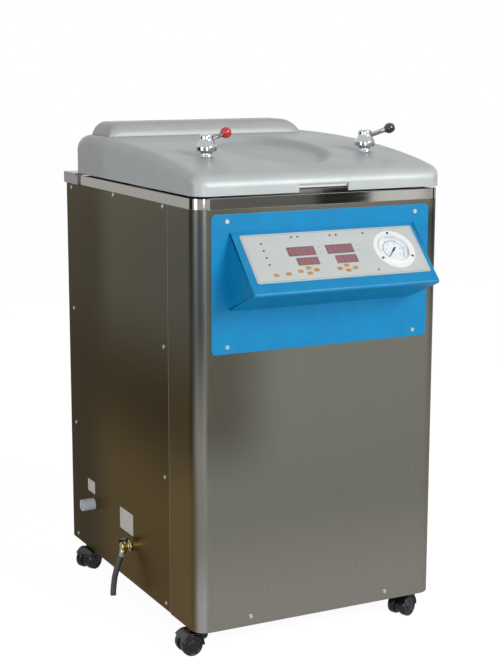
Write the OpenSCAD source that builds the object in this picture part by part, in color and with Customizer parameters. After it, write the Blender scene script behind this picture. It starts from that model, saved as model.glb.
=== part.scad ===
// Vertical top-loading steam steriliser on casters: a stainless cabinet round an upright
// pressure vessel, a hinged lid with a toothed door, and a sloping control console.
// Lengths are in millimetres. In the modules, X = 0 is the middle of the cabinet, Y = 0 its
// front face, +Y goes to the back and Z = 0 is the floor; seat() moves it all to the origin.

/* [Cabinet] */
// Width over the side panels
cab_w = 520; // [500:5:600]
// Depth from the front face to the rear panel
cab_d = 650; // [640:5:720]
// Height of the lower edge of the panels above the floor
cab_foot = 50; // [48:1:60]
// Height of the panels, from their lower edge to the polished rim
panel_h = 790; // [780:5:900]
// Height of the polished rim of the top deck
rim_h = 20; // [16:1:26]
// Sheet thickness of the panels
sheet = 1.5; // [1:0.1:2]
// Radius of the two front corners of the cabinet
corner_r = 30; // [20:1:40]
// Depth of the front panel's sides, up to the seam
wrap_d = 120; // [90:5:150]
// Gap at the seams between panels
seam = 1; // [0.6:0.1:1.5]
// Side of the frame's square tubes
tube_w = 25; // [20:1:28]
// Height of the hinge housing behind the lid
housing_h = 23; // [22:1:30]
// How far the hinge housing stands out behind the rear panel
housing_out = 10; // [6:1:16]

/* [Casters] */
// Radius of a caster wheel
wheel_r = 21; // [18:1:22]
// Width of one wheel of a twin caster
wheel_w = 14; // [11:1:15]
// Distance from the swivel axis back to the wheel axle
trail = 26; // [24:1:30]
// Distance from the cabinet's sides in to the swivel axis
caster_in = 28; // [26:1:34]
// Distance from the front face to the front swivel axes
caster_front = 42; // [38:1:60]
// Distance from the front face to the rear swivel axes
caster_rear = 585; // [540:5:600]
// Direction of each caster: front left, front right, rear left, rear right
caster_turns = [180, 205, 210, 215]; // [0:5:360]

/* [Vessel] */
// Radius of the chamber's bore
bore_r = 190; // [170:1:190]
// Wall of the chamber
vessel_t = 3; // [2:0.5:4]
// Height of the chamber's floor above the ground
vessel_floor = 250; // [230:5:300]
// Distance from the front face to the vessel's axis
vessel_y = 285; // [270:1:300]
// Thickness of the insulation
insulation_t = 22; // [12:1:25]
// Thickness of the vessel's flange
flange_t = 14; // [10:1:16]
// Number of teeth on the door and on the lock ring
tooth_n = 10; // [8:1:12]
// Angle that each tooth spans
tooth_angle = 14; // [10:1:15]
// Distance from the vessel's flange down to the basket
basket_down = 48; // [40:1:120]

/* [Lid] */
// Distance from the lid's back to the rear panel
lid_back = 62; // [52:1:72]
// Height of the lid's front edge
lid_front_h = 32; // [28:1:40]
// Height of the lid at the back
lid_rear_h = 80; // [70:1:90]
// Wall of the lid cover
lid_t = 3; // [2:0.5:4]
// Gap between the lid and the top deck
lid_gap = 3.5; // [3:0.5:6]
// Height of the rounded hump at the back of the lid
hump_h = 27; // [18:1:30]
// Depth of the shallow dish in the lid's top
dish_h = 13; // [4:1:16]
// Width of the finger notch
notch_w = 104; // [80:1:120]
// Height of the finger notch
notch_h = 16; // [14:1:18]
// Distance of each valve from the middle of the lid
valve_x = 171; // [160:1:176]
// Distance of the valves from the front face
valve_y = 139; // [130:1:150]
// Radius of the valves' caps
valve_r = 13; // [12:0.5:16]
// Length of the exhaust valve's lever
exhaust_lever_l = 39; // [34:1:50]
// Length of the safety valve's lever
safety_lever_l = 61; // [50:1:80]

/* [Console] */
// Width of the console's flange
plate_w = 458; // [440:1:480]
// Height of the console's flange
plate_h = 254; // [240:1:280]
// Distance from the panels' top down to the flange
plate_down = 9; // [7:1:14]
// Width of the wedge
wedge_w = 386; // [380:1:400]
// Distance from the flange's upper edge down to the top of the sloping face
wedge_down = 30.5; // [26:0.5:36]
// How far the wedge stands out in front
wedge_out = 97; // [90:1:104]
// Height of the sloping face
wedge_drop = 97.5; // [92:0.5:104]
// Height of the lip under the sloping face
wedge_lip = 8; // [5:1:12]
// Height of the whole wedge on the front panel
wedge_h = 146; // [140:1:155]
// Width of the label
label_w = 361; // [350:1:365]
// Height of the label on the slope
label_h = 108; // [104:1:112]
// Radius of the gauge's flange
gauge_flange_r = 42.5; // [38:0.5:44]
// Radius of the gauge's dial
dial_r = 29; // [25:0.5:31]

/* [Pipework] */
// Radius of the exhaust pipe
pipe_r = 12.5; // [10:0.5:14]
// Radius of the exhaust pipe's bore
pipe_bore_r = 9.5; // [7:0.5:10]
// How far the exhaust pipe stands out
pipe_out = 27; // [20:1:31]
// Distance of the exhaust pipe from the front face
pipe_y = 524; // [510:1:540]
// Height of the exhaust pipe
pipe_z = 159; // [150:1:170]
// Distance of the drain valve from the front face
drain_y = 318; // [300:1:330]
// Height of the drain valve
drain_z = 128; // [120:1:135]
// Diameter of the drain hose
hose_d = 12; // [11:0.5:13]

/* [Hidden] */
$fn = 64;
over = 1;              // overrun of the cuts
rest_gap = 0.3;        // gap between pieces that only rest on each other
run_gap = 0.05;        // radial clearance of a shaft in its bore

panel_top = cab_foot + panel_h;
deck_z = panel_top + rim_h;
frame_down = 30.5;     // from the deck to the top of the frame
frame_top = deck_z - frame_down;
half_w = cab_w / 2;
in_r = corner_r - sheet;
side_up = 2;           // how much higher the side panels end than the front one
panel_z_side = cab_foot + side_up;

drain_in = 3;          // how far its shank reaches in through the side
drain_out = 33;        // how far the drain valve's tail stands out of the side
screw_r = 4;
screw_head = 1.4;
lip_out = 3;           // how far the lip stands out past the sloping face
shift_x = (drain_out - screw_head) / 2;
shift_y = (wedge_out + lip_out - cab_d - housing_out) / 2;

lid_w = cab_w;
lid_z = deck_z + lid_gap;
lid_y = -2;            // the lid's front stands just proud of the cabinet
lid_d = cab_d - lid_back - lid_y;
crown_reach = 500;
crown_power_share = 0.75;

flange_up = 1.5;       // how far the vessel's flange stands above the deck
flange_top = deck_z + flange_up;
flange_w = 36;         // how far the flange stands out past the bore
flange_r = bore_r + flange_w;
tooth_l = 12;          // length of a tooth
door_gap = 2;
door_t = 12;
door_r = flange_r - tooth_l;
tooth_gap = 1.5;
tooth_t = 11.5;        // height of the lock ring's teeth
ring_clear = 6;        // between the flange and the lock ring's wall
ring_wall = 13;
door_z = flange_top + door_gap;
ring_tooth_z = door_z + door_t + tooth_gap;
ring_top = ring_tooth_z + tooth_t;
ring_lip = 12;
ring_z = flange_top - flange_t - tooth_gap - ring_lip;
ring_bore_r = flange_r + ring_clear;
ring_r = ring_bore_r + ring_wall;
lip_clear = 4;         // between the door and the ring's lip and teeth
ring_in_r = door_r + lip_clear;
dome_h = 24;
vessel_r = bore_r + vessel_t;
plate_top = panel_top - plate_down;
wedge_top = plate_top - wedge_down;

hinge_back = 20;       // from the lid's back to the hinge
hinge_up = 18;
hinge_y = lid_y + lid_d + hinge_back;
hinge_z = lid_z + hinge_up;
hinge_pin_r = 7;
knuckle_r = 14;
arm_x = 120;
arm_w = 30;
arm_t = 8;
arm_gap = 3;
arm_z = ring_top + arm_gap;

face_tilt = atan(wedge_drop / wedge_out);
label_x = 2.5;
label_s = 66;
label_t = 0.6;
gauge_x = 125;
gauge_s = 65;

axle_z = wheel_r;
caster_top = cab_foot + side_up / 4;

// Moves the cabinet's own frame to the middle of the whole part's footprint
module seat() { translate([shift_x, shift_y, 0]) children(); }

// Flat outline with its two front corners rounded; it starts at y = 0
module front_round(w, d, r) {
    translate([-w / 2 + r, 0]) square([w - 2 * r, d]);
    translate([-w / 2, r]) square([w, d - r]);
    for (s = [-1, 1]) translate([s * (w / 2 - r), r]) circle(r);
}

// Flat outline with four rounded corners, centred
module round_rect(w, h, r) {
    square([w - 2 * r, h], center = true);
    square([w, h - 2 * r], center = true);
    for (x = [-1, 1], y = [-1, 1]) translate([x * (w / 2 - r), y * (h / 2 - r)]) circle(r);
}

// Round bar from point a to point b
module rod(a, b, r) {
    d = b - a;
    l = norm(d);
    translate(a) rotate([0, acos(d[2] / l), atan2(d[1], d[0])]) cylinder(r = r, h = l);
}

// Round bar along X
module bar_x(x0, x1, y, z, r) {
    translate([x0, y, z]) rotate([0, 90, 0]) cylinder(r = r, h = x1 - x0);
}

// Puts its children on the sloping face: X across, Y up the slope, Z out of the face
module on_face() {
    translate([0, 0, wedge_top]) rotate([face_tilt, 0, 0]) children();
}

// Frame

post_in = rest_gap;    // gap between the panels and the frame's tubes
frame_d = cab_d - sheet - post_in;
socket_h = panel_z_side + tube_w - caster_top;
guide_w = 20;
guide_l = 40;
socket_r = 12;

module frame() {
    x0 = half_w - sheet - post_in;
    rail_y = hinge_y - knuckle_r;
    color("dimgray") seat() difference() {
        union() {
            for (s = [-1, 1]) {
                // side rails, low and high
                for (z = [panel_z_side, frame_top - tube_w])
                    translate([s > 0 ? x0 - tube_w : -x0, corner_r, z])
                        cube([tube_w, frame_d - corner_r, tube_w]);
                // corner posts
                for (y = [corner_r, frame_d - tube_w])
                    translate([s > 0 ? x0 - tube_w : -x0, y, panel_z_side])
                        cube([tube_w, tube_w, frame_top - panel_z_side]);
                // guides that carry the lock ring
                translate([s * (x0 - guide_w / 2) - guide_w / 2, vessel_y - guide_l / 2, frame_top - over])
                    cube([guide_w, guide_l, ring_z - rest_gap - frame_top + over]);
                // posts that carry the hinge
                translate([s * arm_x - tube_w, rail_y, frame_top - over])
                    cube([2 * tube_w, 2 * knuckle_r, bracket_z - frame_top + over]);
            }
            // cross rails
            for (y = [corner_r, leg_y(-1) - tube_w / 2, leg_y(1) - tube_w / 2, frame_d - tube_w])
                translate([-x0, y, panel_z_side]) cube([2 * x0, tube_w, tube_w]);
            translate([-x0 + corner_r / 4, corner_r - tube_w / 2, frame_top - tube_w])
                cube([2 * x0 - corner_r / 2, tube_w / 2 + over, tube_w]);
            translate([-x0, rail_y, frame_top - tube_w]) cube([2 * x0, frame_d - rail_y, tube_w]);
            // sockets of the casters
            for (c = caster_places)
                translate([c[0], c[1], caster_top]) cylinder(r = socket_r, h = socket_h);
        }
        for (c = caster_places)
            translate([c[0], c[1], caster_top - over])
                cylinder(r = stem_r + run_gap, h = socket_h + tube_w);
    }
}

// Panels

hole_rim = [12, 15];   // rim of the front panel behind the wedge, across and up
console_hole_w = wedge_w - 2 * hole_rim[0];
console_hole_h = wedge_h - 2 * hole_rim[1];
drain_hole_r = 9;
pipe_hole_gap = 1;     // between the exhaust pipe and the side panel
return_w = 14;         // width of the side panels' front fold
deck_back = 23;        // from the lid's back to the end of the deck's polished rim
deck_end = lid_y + lid_d - deck_back;
vent_n = 9;
vent_w = 60;
vent_h = 5;
vent_drop = 130;       // from the top of the panel down to the lowest slot
deck_gap = 4;          // from the lock ring to the deck's edge
gland_x = 150;
gland_z = 130;
gland_r = 10;

module front_panel() {
    color("silver") seat() difference() {
        translate([0, 0, cab_foot]) linear_extrude(panel_h) difference() {
            front_round(cab_w, wrap_d - seam / 2, corner_r);
            translate([0, sheet]) front_round(cab_w - 2 * sheet, wrap_d, in_r);
        }
        translate([-console_hole_w / 2, -over, wedge_top - wedge_h / 2 - console_hole_h / 2])
            cube([console_hole_w, sheet + 2 * over, console_hole_h]);
    }
}

// One side panel as a flat tray: s is -1 on the left and 1 on the right
module side_sheet(s) {
    y0 = wrap_d + seam / 2;
    x0 = s > 0 ? half_w - sheet : -half_w;
    translate([x0, y0, panel_z_side]) cube([sheet, cab_d - sheet - seam - y0, panel_top - panel_z_side]);
    translate([s > 0 ? half_w - return_w : -half_w, y0, panel_z_side + tube_w + seam])
        cube([return_w, sheet, frame_top - panel_z_side - 2 * (tube_w + seam)]);
}

module left_panel() {
    color("silver") seat() difference() {
        side_sheet(-1);
        bar_x(-half_w - over, -half_w + sheet + over, pipe_y, pipe_z, pipe_r + pipe_hole_gap);
        bar_x(-half_w - over, -half_w + sheet + over, drain_y, drain_z, drain_hole_r);
    }
}

module right_panel() {
    color("silver") seat() side_sheet(1);
}

module rear_panel() {
    color("silver") seat() difference() {
        translate([-half_w, cab_d - sheet, panel_z_side])
            cube([cab_w, sheet, panel_top - panel_z_side - seam]);
        for (s = [-1, 1], i = [0 : vent_n - 1]) translate([s * half_w / 2, cab_d, panel_top - vent_drop])
            translate([-vent_w / 2, -sheet - over, i * 2 * vent_h]) cube([vent_w, sheet + 2 * over, vent_h]);
        translate([gland_x, cab_d + over, gland_z]) rotate([90, 0, 0])
            cylinder(r = gland_r + rest_gap, h = sheet + 2 * over);
    }
}

module top_deck() {
    color("gainsboro") seat() difference() {
        translate([0, 0, panel_top]) linear_extrude(rim_h) front_round(cab_w, deck_end, corner_r);
        translate([0, sheet, panel_top - over]) linear_extrude(rim_h - sheet + over)
            front_round(cab_w - 2 * sheet, deck_end, in_r);
        translate([0, vessel_y, panel_top]) cylinder(r = ring_r + deck_gap, h = rim_h + over);
    }
}

// Hinge housing: a box with its front at the deck's end and two openings for the hinge

housing_step = 14;     // the gap between the rim's end and the housing
housing_drop = 1;      // how far it reaches down over the panels
housing_side = 2;      // how far it stands past the sides
lid_back_gap = 6;      // from the lid's back to the housing's high part
housing_z = panel_top - housing_drop;
bracket_w = 64;
bracket_t = 8;
bracket_gap = 2;
bracket_z = panel_top - bracket_t;

module hinge_housing() {
    y0 = deck_end + housing_step;
    y1 = cab_d + housing_out;
    y_up = lid_y + lid_d + lid_back_gap;
    z0 = housing_z;
    low_h = deck_z - seam - z0;
    w = cab_w + 2 * housing_side;
    color("darkgray") seat() difference() {
        union() {
            translate([-w / 2, y0, z0]) cube([w, y1 - y0, low_h]);
            translate([-w / 2, y_up, z0]) cube([w, y1 - y_up, housing_h]);
        }
        translate([-half_w - rest_gap, y0 + sheet, z0 - over])
            cube([cab_w + 2 * rest_gap, y1 - y0 - 2 * sheet, low_h - sheet + over]);
        // the side panels pass under the front wall
        translate([-half_w - rest_gap, y0 - over, z0 - over])
            cube([cab_w + 2 * rest_gap, sheet + 2 * over, panel_top - z0 + over + rest_gap]);
        translate([-half_w - rest_gap, y_up + sheet, z0])
            cube([cab_w + 2 * rest_gap, y1 - y_up - 2 * sheet, housing_h - sheet]);
        for (s = [-1, 1]) translate([s * arm_x - bracket_w / 2 - bracket_gap, y_up - 2 * over, z0 + sheet])
            cube([bracket_w + 2 * bracket_gap, hinge_y + knuckle_r + 2 * bracket_gap - y_up, housing_h]);
    }
}

// Screws: side columns, front foot, console corners and gauge

screw_row_shares = [0.66, 0.34, 0.02]; // heights of the side screws, of the panels' height
screw_mid_share = 0.59; // place of the middle top screw, of the cabinet's depth
screw_in = 20;         // from the seam to the front column
screw_back = 32;       // from the rear to the rear column
screw_down = 5;        // from the panels' top to the top row
screw_column = [wrap_d + screw_in, cab_d - screw_back];
side_screws = concat([for (y = screw_column, t = screw_row_shares) [y, cab_foot + t * panel_h]],
    [[screw_column[0], panel_top - screw_down], [cab_d * screw_mid_share, panel_top - screw_down],
    [screw_column[1], housing_z - 2 * screw_r]]);
foot_screw = [148, 18]; // place of the front panel's screws, from its middle and lower edge
plate_screw = [31, 13]; // place of the console's screws, from the flange's corners
screw_recess_share = 0.42;
screw_recess_depth_share = 0.4;
screw_shank_share = 0.45;
screw_grip = 4;        // length of the shank behind the sheet
gauge_screw_n = 3;

// Pan head with a driver recess, its flat on z = 0
module screw_head_up() {
    difference() {
        cylinder(r = screw_r, h = screw_head);
        translate([0, 0, screw_head * (1 - screw_recess_depth_share)])
            cylinder(r = screw_r * screw_recess_share, h = screw_head);
    }
    translate([0, 0, -sheet - screw_grip]) cylinder(r = screw_r * screw_shank_share,
        h = sheet + screw_grip + screw_head * screw_recess_depth_share);
}

module panel_screws() {
    color("lightgray") seat() {
        for (s = [-1, 1], p = side_screws)
            translate([s * half_w, p[0], p[1]]) rotate([0, s * 90, 0]) screw_head_up();
        for (s = [-1, 1]) {
            translate([s * foot_screw[0], 0, cab_foot + foot_screw[1]]) rotate([90, 0, 0]) screw_head_up();
            for (z = [plate_screw[1], plate_h - plate_screw[1]])
                translate([s * (plate_w / 2 - plate_screw[0]), -sheet, plate_top - z])
                    rotate([90, 0, 0]) screw_head_up();
        }
    }
}

// Casters: a hood with its stem, and a pair of wheels on one axle

stem_r = 5.5;
axle_r = 3;
web_w = 11;
hood_gap = 1.4;
hood_t = 2.3;
hood_w = 2 * wheel_w + web_w + 2 * hood_gap;
boss_r = 13;
boss_up = 6;           // from the axle up to the boss
hub_in = 3;            // how much smaller the web's disc is than a wheel
recess_depth = 2;
rim_w = 4;
hub_share = 0.42;
wheel_gap = 1;         // between the web and each wheel
caster_places = [for (i = [0 : 3]) [(i % 2 == 0 ? -1 : 1) * (half_w - caster_in),
    i < 2 ? caster_front : caster_rear, caster_turns[i]]];

// Puts its children at a caster's swivel axis, with its trail along +X
module at_caster(i) {
    p = caster_places[i];
    translate([p[0], p[1], 0]) rotate(p[2]) children();
}

module caster_hood(i) {
    hood_r = wheel_r + hood_gap;
    color([0.12, 0.12, 0.13]) seat() at_caster(i) difference() {
        union() {
            translate([trail, web_w / 2, axle_z]) rotate([90, 0, 0])
                cylinder(r = wheel_r - hub_in, h = web_w);
            translate([0, -web_w / 2, axle_z]) cube([trail, web_w, caster_top - hub_in - axle_z]);
            translate([0, 0, axle_z + boss_up])
                cylinder(r = boss_r, h = caster_top - rest_gap - axle_z - boss_up);
            translate([0, 0, caster_top - 2 * over]) cylinder(r = stem_r, h = socket_h);
            intersection() {
                translate([trail, hood_w / 2, axle_z]) rotate([90, 0, 0]) difference() {
                    cylinder(r = hood_r + hood_t, h = hood_w);
                    translate([0, 0, -over]) cylinder(r = hood_r, h = hood_w + 2 * over);
                }
                translate([trail - hood_r - hood_t, -hood_w / 2, axle_z - hood_t])
                    cube([2 * hood_r, hood_w, hood_r + 2 * hood_t]);
            }
            translate([trail, web_w / 2, axle_z]) rotate([90, 0, 0])
                intersection() {
                    cylinder(r = hood_r + hood_t / 2, h = web_w);
                    translate([-hood_r, 0, 0]) cube([hood_r, hood_r, web_w]);
                }
        }
        for (y = [-(web_w + wheel_gap) / 2, web_w / 2 + wheel_gap + wheel_w])
            translate([trail, y, axle_z]) rotate([90, 0, 0])
                cylinder(r = wheel_r + hood_gap / 2, h = wheel_w + wheel_gap / 2);
        translate([trail, hood_w, axle_z]) rotate([90, 0, 0]) cylinder(r = axle_r + run_gap, h = 2 * hood_w);
    }
}

module caster_wheels(i) {
    gap = wheel_gap;
    color([0.16, 0.16, 0.17]) seat() at_caster(i) translate([trail, 0, axle_z]) rotate([90, 0, 0]) {
        translate([0, 0, -web_w / 2 - gap - wheel_w / 2]) cylinder(r = axle_r, h = web_w + 2 * gap + wheel_w);
        for (s = [-1, 1]) translate([0, 0, s * (web_w / 2 + gap + wheel_w / 2) - wheel_w / 2]) difference() {
            cylinder(r = wheel_r, h = wheel_w);
            translate([0, 0, s > 0 ? wheel_w - recess_depth : -over]) difference() {
                cylinder(r = wheel_r - rim_w, h = recess_depth + over);
                translate([0, 0, -over]) cylinder(r = wheel_r * hub_share, h = recess_depth + 3 * over);
            }
        }
    }
}

// Vessel: bore, floor, flange, legs and drain pipe

leg_r = 12;
leg_off = 120;
drain_pipe_r = 8;
elbow_r = 10;
floor_flat_share = 0.78;
floor_rise = 30;
heater_stub_x = 60;
heater_r = 6;

function leg_y(s) = vessel_y + s * leg_off;

module chamber() {
    floor_r = bore_r * floor_flat_share;
    leg_z = panel_z_side + tube_w;
    color("silver") seat() difference() {
        union() {
            translate([0, vessel_y, 0]) rotate_extrude() polygon([[0, vessel_floor - vessel_t],
                [floor_r + vessel_t, vessel_floor - vessel_t],
                [vessel_r, vessel_floor + floor_rise - vessel_t],
                [vessel_r, flange_top - flange_t], [flange_r, flange_top - flange_t], [flange_r, flange_top],
                [bore_r, flange_top], [bore_r, vessel_floor + floor_rise], [floor_r, vessel_floor],
                [0, vessel_floor]]);
            for (x = [-1, 1], y = [-1, 1]) translate([x * leg_off, leg_y(y), leg_z])
                cylinder(r = leg_r, h = vessel_floor + floor_rise / 2 - leg_z);
            translate([0, vessel_y, drain_z]) cylinder(r = drain_pipe_r, h = vessel_floor - drain_z - over);
            translate([0, vessel_y, drain_z]) sphere(elbow_r);
            translate([0, drain_y, drain_z]) sphere(elbow_r);
            rod([0, vessel_y, drain_z], [0, drain_y, drain_z], drain_pipe_r);
            bar_x(-half_w + drain_in + rest_gap, 0, drain_y, drain_z, drain_pipe_r);
        }
        // keeps the legs out of the chamber
        translate([0, vessel_y, 0]) rotate_extrude() polygon([[0, vessel_floor],
            [floor_r, vessel_floor], [bore_r, vessel_floor + floor_rise], [bore_r, flange_top + over],
            [0, flange_top + over]]);
        for (s = [-1, 1]) translate([s * heater_stub_x, vessel_y, vessel_floor - 2 * vessel_t])
            cylinder(r = heater_r + rest_gap, h = 4 * vessel_t);
        for (a = probe_angles) translate([0, vessel_y, 0]) rotate(a)
            translate([probe_at, 0, vessel_floor - 2 * vessel_t])
                cylinder(r = probe_r + rest_gap, h = 4 * vessel_t);
    }
}

gauge_line_x = 100;
gauge_line_down = 80;
gauge_line_z = wedge_top - gauge_line_down;
gauge_line_r = 4;

module insulation_jacket() {
    color("whitesmoke") seat() difference() {
        translate([0, vessel_y, vessel_floor + floor_rise]) difference() {
            cylinder(r = vessel_r + insulation_t, h = frame_top - tube_w - vessel_floor - floor_rise);
            translate([0, 0, -over]) cylinder(r = vessel_r + rest_gap, h = frame_top);
        }
        rod(gauge_back, gauge_end + (gauge_end - gauge_back) / 5, gauge_line_r + over);
        rod([steam_x, vessel_y, steam_z], [steam_x, cab_d, steam_z], steam_r + over);
    }
}

// Heating tubes: two open rings low in the chamber, with stubs through the floor
heater_up = 42;        // from the chamber's floor up to the rings
heater_z = vessel_floor + heater_up;
heater_rings = [heater_stub_x, 2 * heater_stub_x];
stub_out = 22;         // how far the stubs reach below the chamber's floor
nut_h = 6;
bridge_r = 5;

module heating_tubes() {
    color("dimgray") seat() translate([0, vessel_y, 0]) {
        for (r = heater_rings) translate([0, 0, heater_z])
            rotate_extrude() translate([r, 0]) circle(heater_r);
        for (s = [-1, 1]) {
            translate([s * heater_stub_x, 0, vessel_floor - stub_out])
                cylinder(r = heater_r, h = heater_z - vessel_floor + stub_out);
            translate([s * heater_stub_x, 0, vessel_floor - vessel_t - rest_gap - nut_h])
                cylinder(r = 2 * heater_r, h = nut_h);
            bar_x(s > 0 ? heater_rings[0] : -heater_rings[1], s > 0 ? heater_rings[1] : -heater_rings[0],
                0, heater_z, bridge_r);
        }
    }
}

probe_angles = [35, 145, 270];
probe_at = 105;
probe_r = 3;
probe_l = 58;
probe_out = 30;
probe_nut = [8, 12];   // radius and height

module level_probes() {
    color("gold") seat() translate([0, vessel_y, vessel_floor]) for (a = probe_angles)
        rotate(a) translate([probe_at, 0, 0]) {
            translate([0, 0, -probe_out]) cylinder(r = probe_r, h = probe_l);
            translate([0, 0, -vessel_t - rest_gap - probe_nut[1]]) cylinder(r = probe_nut[0], h = probe_nut[1]);
        }
}

basket_in = 10;        // from the chamber's wall to the basket
basket_r = bore_r - basket_in;
basket_t = 1.5;
rim_out = 3;           // how far the basket's rim stands out
basket_rim_h = 8;
floor_hole_share = 0.6;
slot_shares = [0.06, 0.52]; // lower ends of the two tiers of slots, of the basket's height
slot_h_share = 0.4;
stand_h = 62;
stand_z = vessel_floor + stand_h;
basket_h = flange_top - basket_down - stand_z;
slot_w = 10;
slot_n = 6;
stand_t = 4;
stand_in = 8;
stand_w = 37;
stand_leg_r = 5;

module basket_stand() {
    color("gray") seat() translate([0, vessel_y, 0]) {
        translate([0, 0, stand_z - stand_t]) difference() {
            cylinder(r = basket_r - stand_in, h = stand_t);
            translate([0, 0, -over]) cylinder(r = basket_r - stand_in - stand_w, h = stand_t + 2 * over);
        }
        for (a = [90 : 120 : 330]) rotate(a)
            translate([floor_flat_share * bore_r - stand_in, 0, vessel_floor + rest_gap])
                cylinder(r = stand_leg_r, h = stand_h - stand_t / 2);
    }
}

// Basket: a deep pan with two tiers of upright slots and a holed floor
module basket() {
    color("lightsteelblue") seat() translate([0, vessel_y, stand_z + rest_gap]) difference() {
        union() {
            cylinder(r = basket_r, h = basket_h);
            translate([0, 0, basket_h - basket_rim_h]) cylinder(r = basket_r + rim_out, h = basket_rim_h);
        }
        translate([0, 0, basket_t]) cylinder(r = basket_r - basket_t, h = basket_h);
        for (i = [0 : slot_n - 1], t = slot_shares) rotate(i * 180 / slot_n)
            translate([-bore_r, -slot_w / 2, basket_h * t]) cube([2 * bore_r, slot_w, basket_h * slot_h_share]);
        for (i = [0 : 2 * slot_n - 1])
            rotate(i * 180 / slot_n) translate([basket_r * floor_hole_share, 0, -over])
                cylinder(r = slot_w / 2, h = basket_t + 2 * over);
    }
}

// Lock ring: a lip under the flange and teeth over the door's teeth
module lock_ring() {
    color("slategray") seat() translate([0, vessel_y, 0]) {
        rotate_extrude() polygon([[ring_in_r, ring_z], [ring_r, ring_z], [ring_r, ring_top],
            [ring_bore_r, ring_top], [ring_bore_r, ring_z + ring_lip], [ring_in_r, ring_z + ring_lip]]);
        for (i = [0 : tooth_n - 1]) rotate(90 + (i + 0.5) * 360 / tooth_n - tooth_angle / 2)
            rotate_extrude(angle = tooth_angle) translate([ring_in_r, ring_tooth_z])
                square([ring_bore_r - ring_in_r + over, tooth_t]);
    }
}

// Lid: the cover is a grid of points over its plan, with a rounded edge, a hump and a dish

lid_corner = 26;
lid_back_corner = 10;
edge_front = [20, 17]; // rounding across and down at the front
edge_side = [18, 14];
edge_rear = [34, 34];
front_zone = 60;       // where the front's rounding has turned into the sides'
rear_zone = 50;
edge_shares = [0, 0.06, 0.22, 0.5, 0.85, 1.3];
edge_last = len(edge_shares) - 1;
lid_cells = [11, 14];  // stations between the edges and the hump, across and back
hump_in = [31, 46];    // from the lid's left and right side to the hump
hump_left = -lid_w / 2 + hump_in[0];
hump_right = lid_w / 2 - hump_in[1];
hump_front = 480;
hump_ease = 26;        // how far its rounding reaches in at the front
hump_end_ease = [28, 40]; // and at its left and right end
dish_y = 240;
dish_a = 112;
dish_b = 188;
dish_wall_share = 0.22;
roll_shares = [0, 0.1, 0.3, 0.6, 1]; // stations on the hump's rounding

function ease(t) = let (c = min(1, max(0, t))) c * c * (3 - 2 * c);
function mix(a, b, t) = a + (b - a) * t;

// Stations: steps in from an edge, even steps between a and b, and steps up to the far edge
function edge_steps(e) = [for (t = edge_shares) t * e];
function even_steps(a, b, n) = [for (k = [1 : n]) mix(a, b, k / (n + 1))];
function far_steps(l, e) = [for (k = [0 : edge_last]) l - edge_shares[edge_last - k] * e];

// Rounded corners in plan: a square corner zone is pressed into a quarter disc
function in_corner(x, y, w, d, r) = let (cx = w / 2 - r, front = y < d / 2,
    a = (abs(x) - cx) / r, b = (front ? r - y : y - d + r) / r,
    aa = a * sqrt(1 - b * b / 2), bb = b * sqrt(1 - a * a / 2))
    a > 0 && b > 0 ? [sign(x) * (cx + aa * r), front ? r - bb * r : d - r + bb * r] : [x, y];

// Distance in from the plan's outline
function inset(p, w, d, r) = let (qx = abs(p[0]) - w / 2 + r, qy = abs(p[1] - d / 2) - d / 2 + r)
    r - norm([max(qx, 0), max(qy, 0)]) - min(max(qx, qy), 0);

// Rounding of the lid's upper edge at y: k = 0 is how far it reaches in, k = 1 how far down
function edge_at(y, k) = y < front_zone ? mix(edge_front[k], edge_side[k], y / front_zone)
    : mix(edge_side[k], edge_rear[k], max(0, (y - lid_d) / rear_zone + 1));

// Height of the lid's spine: it rises steeply behind the front and levels off towards the back
function crown(y) = lid_front_h + (lid_rear_h - lid_front_h)
    * sin(90 * pow(min(1, max(0, y) / crown_reach), crown_power_share));

// Rises from 0 to 1 as a quarter of a circle
function bulge(t) = let (c = min(1, max(0, t))) sqrt(c * (2 - c));

function hump(x, y) = hump_h * bulge((x - hump_left) / hump_end_ease[0])
    * bulge((hump_right - x) / hump_end_ease[1]) * bulge((y - hump_front) / hump_ease);

function dish(x, y) = let (away = norm([x / dish_a, (y - dish_y) / dish_b]))
    dish_h * (1 - ease((away - 1 + dish_wall_share) / dish_wall_share));

function lid_height(p, w, d, r) = let (e = 1 - min(1, inset(p, w, d, r) / edge_at(p[1], 0)))
    crown(p[1]) + hump(p[0], p[1]) - dish(p[0], p[1]) - edge_at(p[1], 1) * (1 - sqrt(max(0, 1 - e * e)));

// The plan's corners are rounder at the front
function corner_at(y) = y < lid_d / 2 ? lid_corner : lid_back_corner;

lid_xs = concat(edge_steps(edge_side[0]), [for (t = roll_shares) hump_in[0] + t * hump_end_ease[0]],
    even_steps(hump_in[0] + hump_end_ease[0], lid_w - hump_in[1] - hump_end_ease[1], lid_cells[0]),
    [for (k = [len(roll_shares) - 1 : -1 : 0]) lid_w - hump_in[1] - roll_shares[k] * hump_end_ease[1]],
    far_steps(lid_w, edge_side[0]));
lid_ys = concat(edge_steps(edge_front[0]),
    even_steps(edge_shares[edge_last] * edge_front[0], hump_front, lid_cells[1]),
    [for (t = roll_shares) hump_front + t * hump_ease], far_steps(lid_d, edge_rear[0]));
lid_nx = len(lid_xs);
lid_ny = len(lid_ys);

// One layer of the cover: its plan is smaller by t all round and it lies lower by t
function lid_layer(t) = [for (y = lid_ys, x = lid_xs)
    let (r = corner_at(y), p = in_corner(x - lid_w / 2, y, lid_w, lid_d, r))
    let (z = lid_height(p, lid_w, lid_d, r) - t)
    [p[0] * (1 - 2 * t / lid_w), t + p[1] * (1 - 2 * t / lid_d), z]];

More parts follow.
